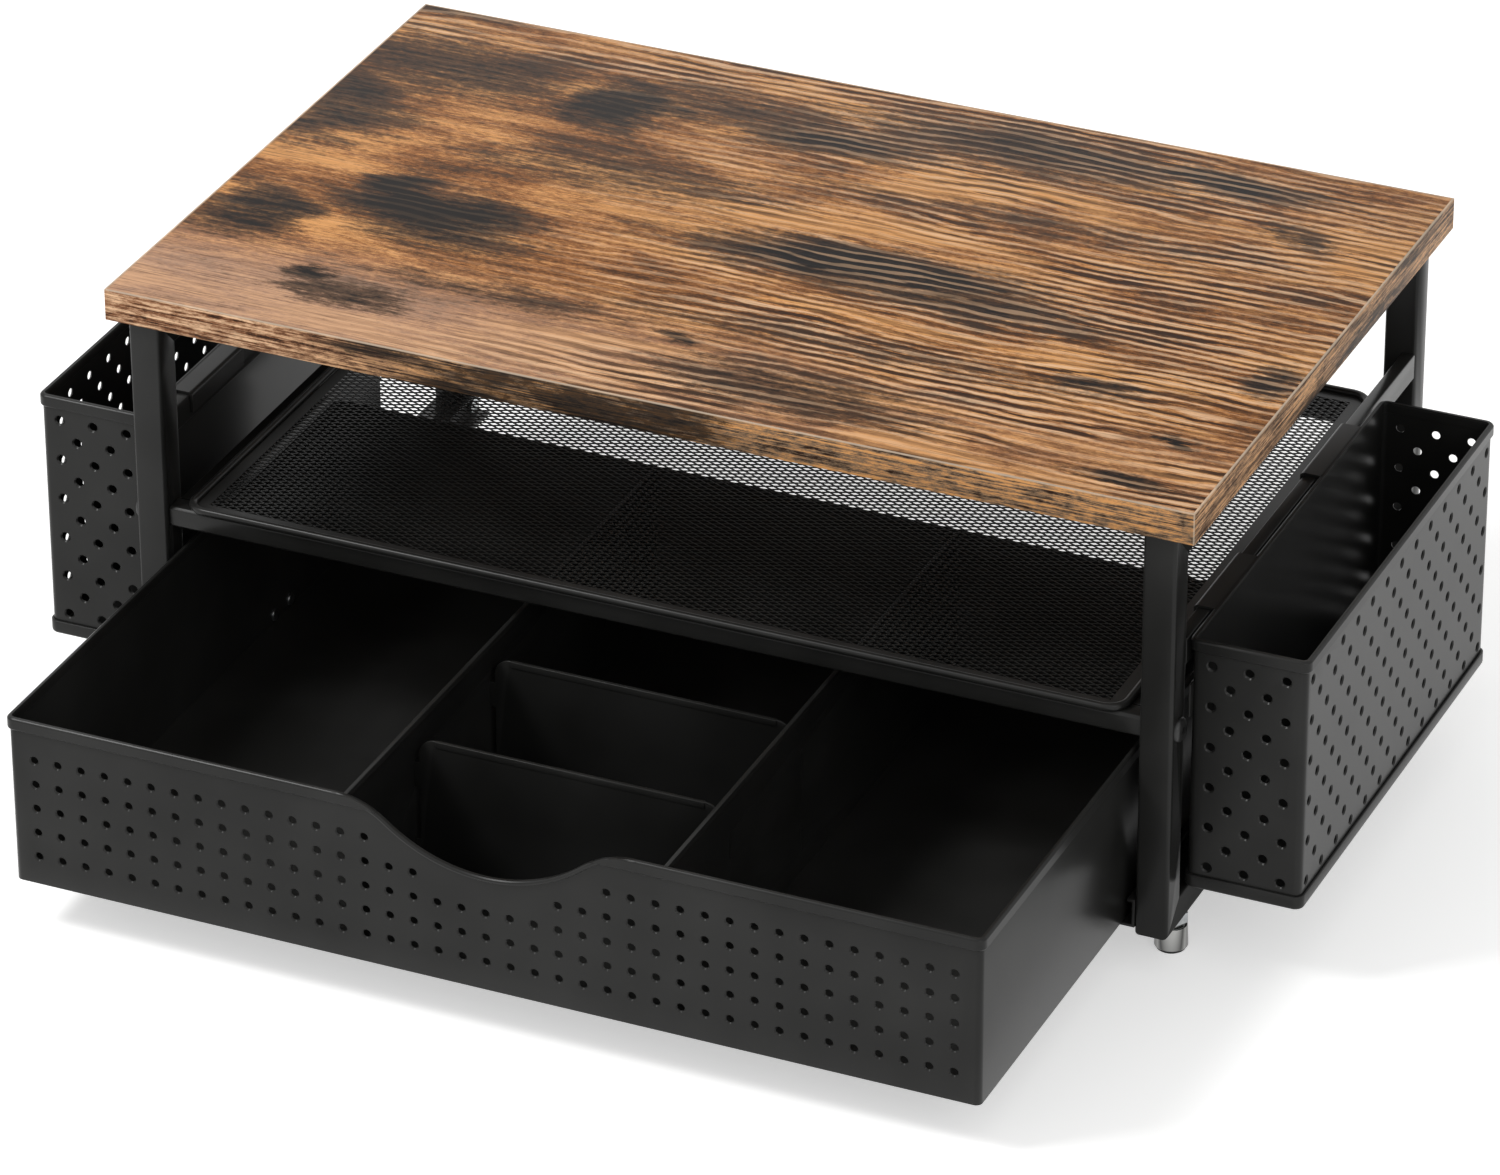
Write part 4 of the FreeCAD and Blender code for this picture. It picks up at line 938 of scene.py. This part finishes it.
class RISER_OT_drawer(bpy.types.Operator):
    """Makes the drawer's folded walls, its perforated front, its hem, dividers and glides"""

    bl_idname = "riser.drawer"
    bl_label = "Drawer"

    HOLE_ROWS = 5
    HOLE_COLUMNS = 39
    # The columns that each row leaves out, because the scoop comes too near.
    MISSING = {0: range(15, 24), 1: range(17, 22)}
    SHOULDER_STEPS = 10
    BOTTOM_STEPS = 16

    def execute(self, context):
        size = sizes()
        low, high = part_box("drawer_front")
        low, high = Vector(low), Vector((high[0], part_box("drawer_rear")[1][1], high[2]))
        step = Vector((size.hem_proud, size.hem_proud, 0))
        walls = folded("drawer_walls", low + step, high - step, [UP], UP,
                       size.drawer_corner, size.sheet)
        ease(walls, 0.2 * MM, angle=60)
        carve(walls, self.scoop_tool(low, high))
        self.punch_front(walls, low, high)
        hem = rolled_hem("drawer_hem", low, high, size.drawer_corner)
        carve(hem, self.scoop_tool(low, high))
        lip = self.scoop_lip(low, high)
        dress(join(walls, hem, lip), "drawer_coat", "drawer", "drawer_front", "drawer_left_side",
              "drawer_right_side", "drawer_rear", "drawer_floor", smooth=24)
        for node in ("left_long_divider", "right_long_divider", "front_cross_divider",
                     "rear_cross_divider"):
            eased_copy(node, "drawer_coat", "drawer", 0.35 * MM)
        eased_copy("drawer_glides", "glide_nylon", "drawer", 0.6 * MM, angle=60)
        eased_copy("glide_rivets", "zinc_fastener", "drawer", 0.3 * MM, angle=60)
        return {"FINISHED"}

    def scoop_outline(self):
        """Half widths and depths of the finger scoop, from the lip down to the middle."""
        size = sizes()
        wide, deep, bottom = size.scoop_half_width, size.scoop_depth, size.scoop_bottom
        square = wide * wide + deep * deep
        shoulder = square / (2 * deep) - bottom
        turn = math.asin(2 * deep * wide / square)
        points = []
        for step in range(self.SHOULDER_STEPS + 1):
            angle = turn * step / self.SHOULDER_STEPS
            points.append((wide - shoulder * math.sin(angle), shoulder * (1 - math.cos(angle))))
        for step in reversed(range(self.BOTTOM_STEPS)):
            angle = turn * step / self.BOTTOM_STEPS
            points.append((bottom * math.sin(angle), deep - bottom * (1 - math.cos(angle))))
        return points

    def scoop_tool(self, low, high):
        """A tool in the scoop's shape, through the front wall."""
        half = self.scoop_outline()
        above, before, reach = high.z + 10 * MM, low.y - 5 * MM, 20 * MM
        rim = [(wide, high.z - deep) for wide, deep in half]
        rim += [(-x, z) for x, z in reversed(rim[:-1])]
        rim += [(-half[0][0], above), (half[0][0], above)]
        mesh = bpy.data.meshes.new("scoop")
        mesh.from_pydata([(x, before, z) for x, z in rim], [], [range(len(rim))])
        tool = bpy.data.objects.new("scoop", mesh)
        bpy.context.collection.objects.link(tool)
        choose(tool, "faces")
        bpy.ops.mesh.extrude_region_move(TRANSFORM_OT_translate={"value": (0, reach, 0)})
        done()
        outward(tool)
        return tool

    def scoop_lip(self, low, high):
        """The rolled lip that follows the scoop, as thick as the hem."""
        radius = 1.1 * MM
        half = self.scoop_outline()
        rim = [Vector((-x, 0, high.z - z)) for x, z in half] + [
            Vector((x, 0, high.z - z)) for x, z in reversed(half[:-1])]
        curve = bpy.data.curves.new("scoop_lip", "CURVE")
        curve.dimensions = "3D"
        curve.bevel_depth = radius
        curve.bevel_resolution = 3
        curve.use_fill_caps = True
        line = curve.splines.new("POLY")
        line.points.add(len(rim) - 1)
        for number, point in enumerate(rim):
            before, after = rim[max(number - 1, 0)], rim[min(number + 1, len(rim) - 1)]
            way = (after - before).normalized()
            inward = Vector((way.z, 0, -way.x)) * radius
            line.points[number].co = (*(point + inward + BACK * (low.y + radius)), 1)
        lip = bpy.data.objects.new("scoop_lip", curve)
        bpy.context.collection.objects.link(lip)
        take(lip)
        bpy.ops.object.convert(target="MESH")
        return bpy.context.object

    def punch_front(self, walls, low, high):
        """Rows of round holes, left out where the scoop comes too near."""
        size = sizes()
        spots = []
        for row in range(self.HOLE_ROWS):
            level = high.z - size.drawer_row_drop - row * size.drawer_row_pitch
            for column in range(self.HOLE_COLUMNS):
                if column not in self.MISSING.get(row, ()):
                    x = (column - self.HOLE_COLUMNS // 2) * size.drawer_column_pitch
                    spots.append((x, low.y + size.hem_proud, level))
        punched(walls, round_punch(size.drawer_hole, FRONT), spots)


class RISER_OT_holders(bpy.types.Operator):
    """Makes the pen holders: perforated walls, hem, hooks and base pan"""

    bl_idname = "riser.holders"
    bl_label = "Pen holders"

    HOLE_ROWS = 11
    # Where the two hooks of a holder start and end along Y.
    HOOK_SPANS = ((-36 * MM, 14 * MM), (92.2 * MM, 142.2 * MM))

    def execute(self, context):
        size = sizes()
        front_low, front_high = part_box("right_holder_front_wall")
        rear_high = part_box("right_holder_rear_wall")[1]
        pan_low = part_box("right_holder_base_pan")[0]
        low = Vector((pan_low[0], pan_low[1], front_low[2]))
        high = Vector((front_high[0], rear_high[1], front_high[2]))
        step = Vector((size.hem_proud, size.hem_proud, 0))
        walls = folded("holder_walls", low + step, high - step, [UP, -UP], UP,
                       size.holder_corner, size.sheet)
        self.punch_walls(walls, low, high)
        hem = rolled_hem("holder_hem", low, high, size.holder_corner)
        right = join(walls, hem, *self.make_hooks(low, high), self.make_ear(low, high))
        right.name = "right_holder_walls"
        left = twin(right, "left_holder_walls", mirrored=True)
        for side, piece in (("left", left), ("right", right)):
            body = side + "_holder"
            dress(piece, "holder_coat", body, body + "_front_wall", body + "_rear_wall",
                  body + "_outer_wall", body + "_inner_wall", smooth=24)
            self.round_pan(body + "_base_pan", body)
        return {"FINISHED"}

    def punch_walls(self, walls, low, high):
        """Staggered rows of holes in the front, rear and outer walls."""
        size = sizes()
        middle_x = (low.x + high.x) / 2
        middle_y = (low.y + high.y) / 2
        front, rear, side = [], [], []
        for row in range(self.HOLE_ROWS):
            level = high.z - size.holder_row_drop - row * size.holder_row_pitch
            for step in (-2, 0, 2) if row % 2 == 0 else (-1, 1):
                x = middle_x + step * size.holder_end_pitch
                front.append((x, low.y + size.hem_proud, level))
                rear.append((x, high.y - size.hem_proud, level))
            for step in range(-12, 13):
                if (step + row) % 2 == 0:
                    y = middle_y + step * size.holder_side_pitch
                    side.append((high.x - size.hem_proud, y, level))
        for facing, spots in ((FRONT, front), (BACK, rear), (RIGHT, side)):
            punched(walls, round_punch(size.holder_hole, facing), spots)

    def round_pan(self, node, body):
        """The base pan, with upright corners and a bottom edge as round as the walls above."""
        size = sizes()
        piece = cad_copy(node)
        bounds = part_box(node)
        bottom = bounds[0][2]
        heel_radius = 1.5 * MM
        choose(piece, "edges", lambda edge: along(edge, UP) and at_sides(edge, bounds, (0, 1)))
        bpy.ops.mesh.bevel(offset=size.holder_corner + size.hem_proud, segments=6, affect="EDGES")
        done()
        choose(piece, "edges", lambda edge: (
            all(vertex.co.z < bottom + NEAR for vertex in edge.verts)
            and any(abs(face.normal.z) < 0.1 for face in edge.link_faces)))
        bpy.ops.mesh.bevel(offset=heel_radius, segments=4, affect="EDGES")
        done()
        ease(piece, 0.3 * MM)
        dress(piece, "holder_coat", body, node)

    def make_hooks(self, low, high):
        """Two flanges folded inwards and down over the hanger bar."""
        bar_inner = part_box("right_hanger_bar")[0][0]
        sheet = 1.2 * MM
        gap = 0.3 * MM
        depth = 10 * MM
        overlap = 1.5 * MM
        fold_radius = 2 * MM
        hooks = []
        for start, end in self.HOOK_SPANS:
            hook_low = (bar_inner - gap - sheet, start, high.z - depth)
            hook_high = (low.x + overlap, end, high.z)
            hooks.append(folded("hook", hook_low, hook_high, [RIGHT, -UP, BACK, -BACK], BACK,
                                fold_radius, sheet))
        return hooks

    def make_ear(self, low, high):
        """The small upright tab at the front of the inner wall."""
        inner, outer = low.x + 1.2 * MM, low.x + 2.2 * MM
        front, rear = low.y - 1.8 * MM, low.y + 4 * MM
        bottom, top = high.z - 36.6 * MM, high.z - 21 * MM
        ear = block("ear", (inner, front, bottom), (outer, rear, top))
        ease(ear, 0.3 * MM)
        return ear


# Panel and start

OPERATORS = (
    RISER_OT_stage, RISER_OT_board, RISER_OT_side_frames, RISER_OT_shelf, RISER_OT_runners,
    RISER_OT_feet, RISER_OT_drawer, RISER_OT_holders,
)


class RISER_PT_panel(bpy.types.Panel):
    """Lists the riser's pieces, sizes and colours"""

    bl_idname = "RISER_PT_panel"
    bl_label = "Monitor riser"
    bl_space_type = "VIEW_3D"
    bl_region_type = "UI"
    bl_category = "Riser"

    def draw(self, context):
        for operator in OPERATORS:
            self.layout.operator(operator.bl_idname)
        for group in (sizes(), colours()):
            for name in group.__annotations__:
                self.layout.prop(group, name)


CLASSES = (RiserSizes, RiserColours, *OPERATORS, RISER_PT_panel)


def register():
    for item in CLASSES:
        bpy.utils.register_class(item)
    bpy.types.Scene.riser_sizes = bpy.props.PointerProperty(type=RiserSizes)
    bpy.types.Scene.riser_colours = bpy.props.PointerProperty(type=RiserColours)


def unregister():
    del bpy.types.Scene.riser_colours
    del bpy.types.Scene.riser_sizes
    for item in reversed(CLASSES):
        bpy.utils.unregister_class(item)


def main():
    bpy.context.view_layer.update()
    register()
    bpy.ops.riser.stage()
    bpy.ops.riser.board()
    bpy.ops.riser.side_frames()
    bpy.ops.riser.shelf()
    bpy.ops.riser.runners()
    bpy.ops.riser.feet()
    bpy.ops.riser.drawer()
    bpy.ops.riser.holders()


if __name__ == "__main__":
    main()
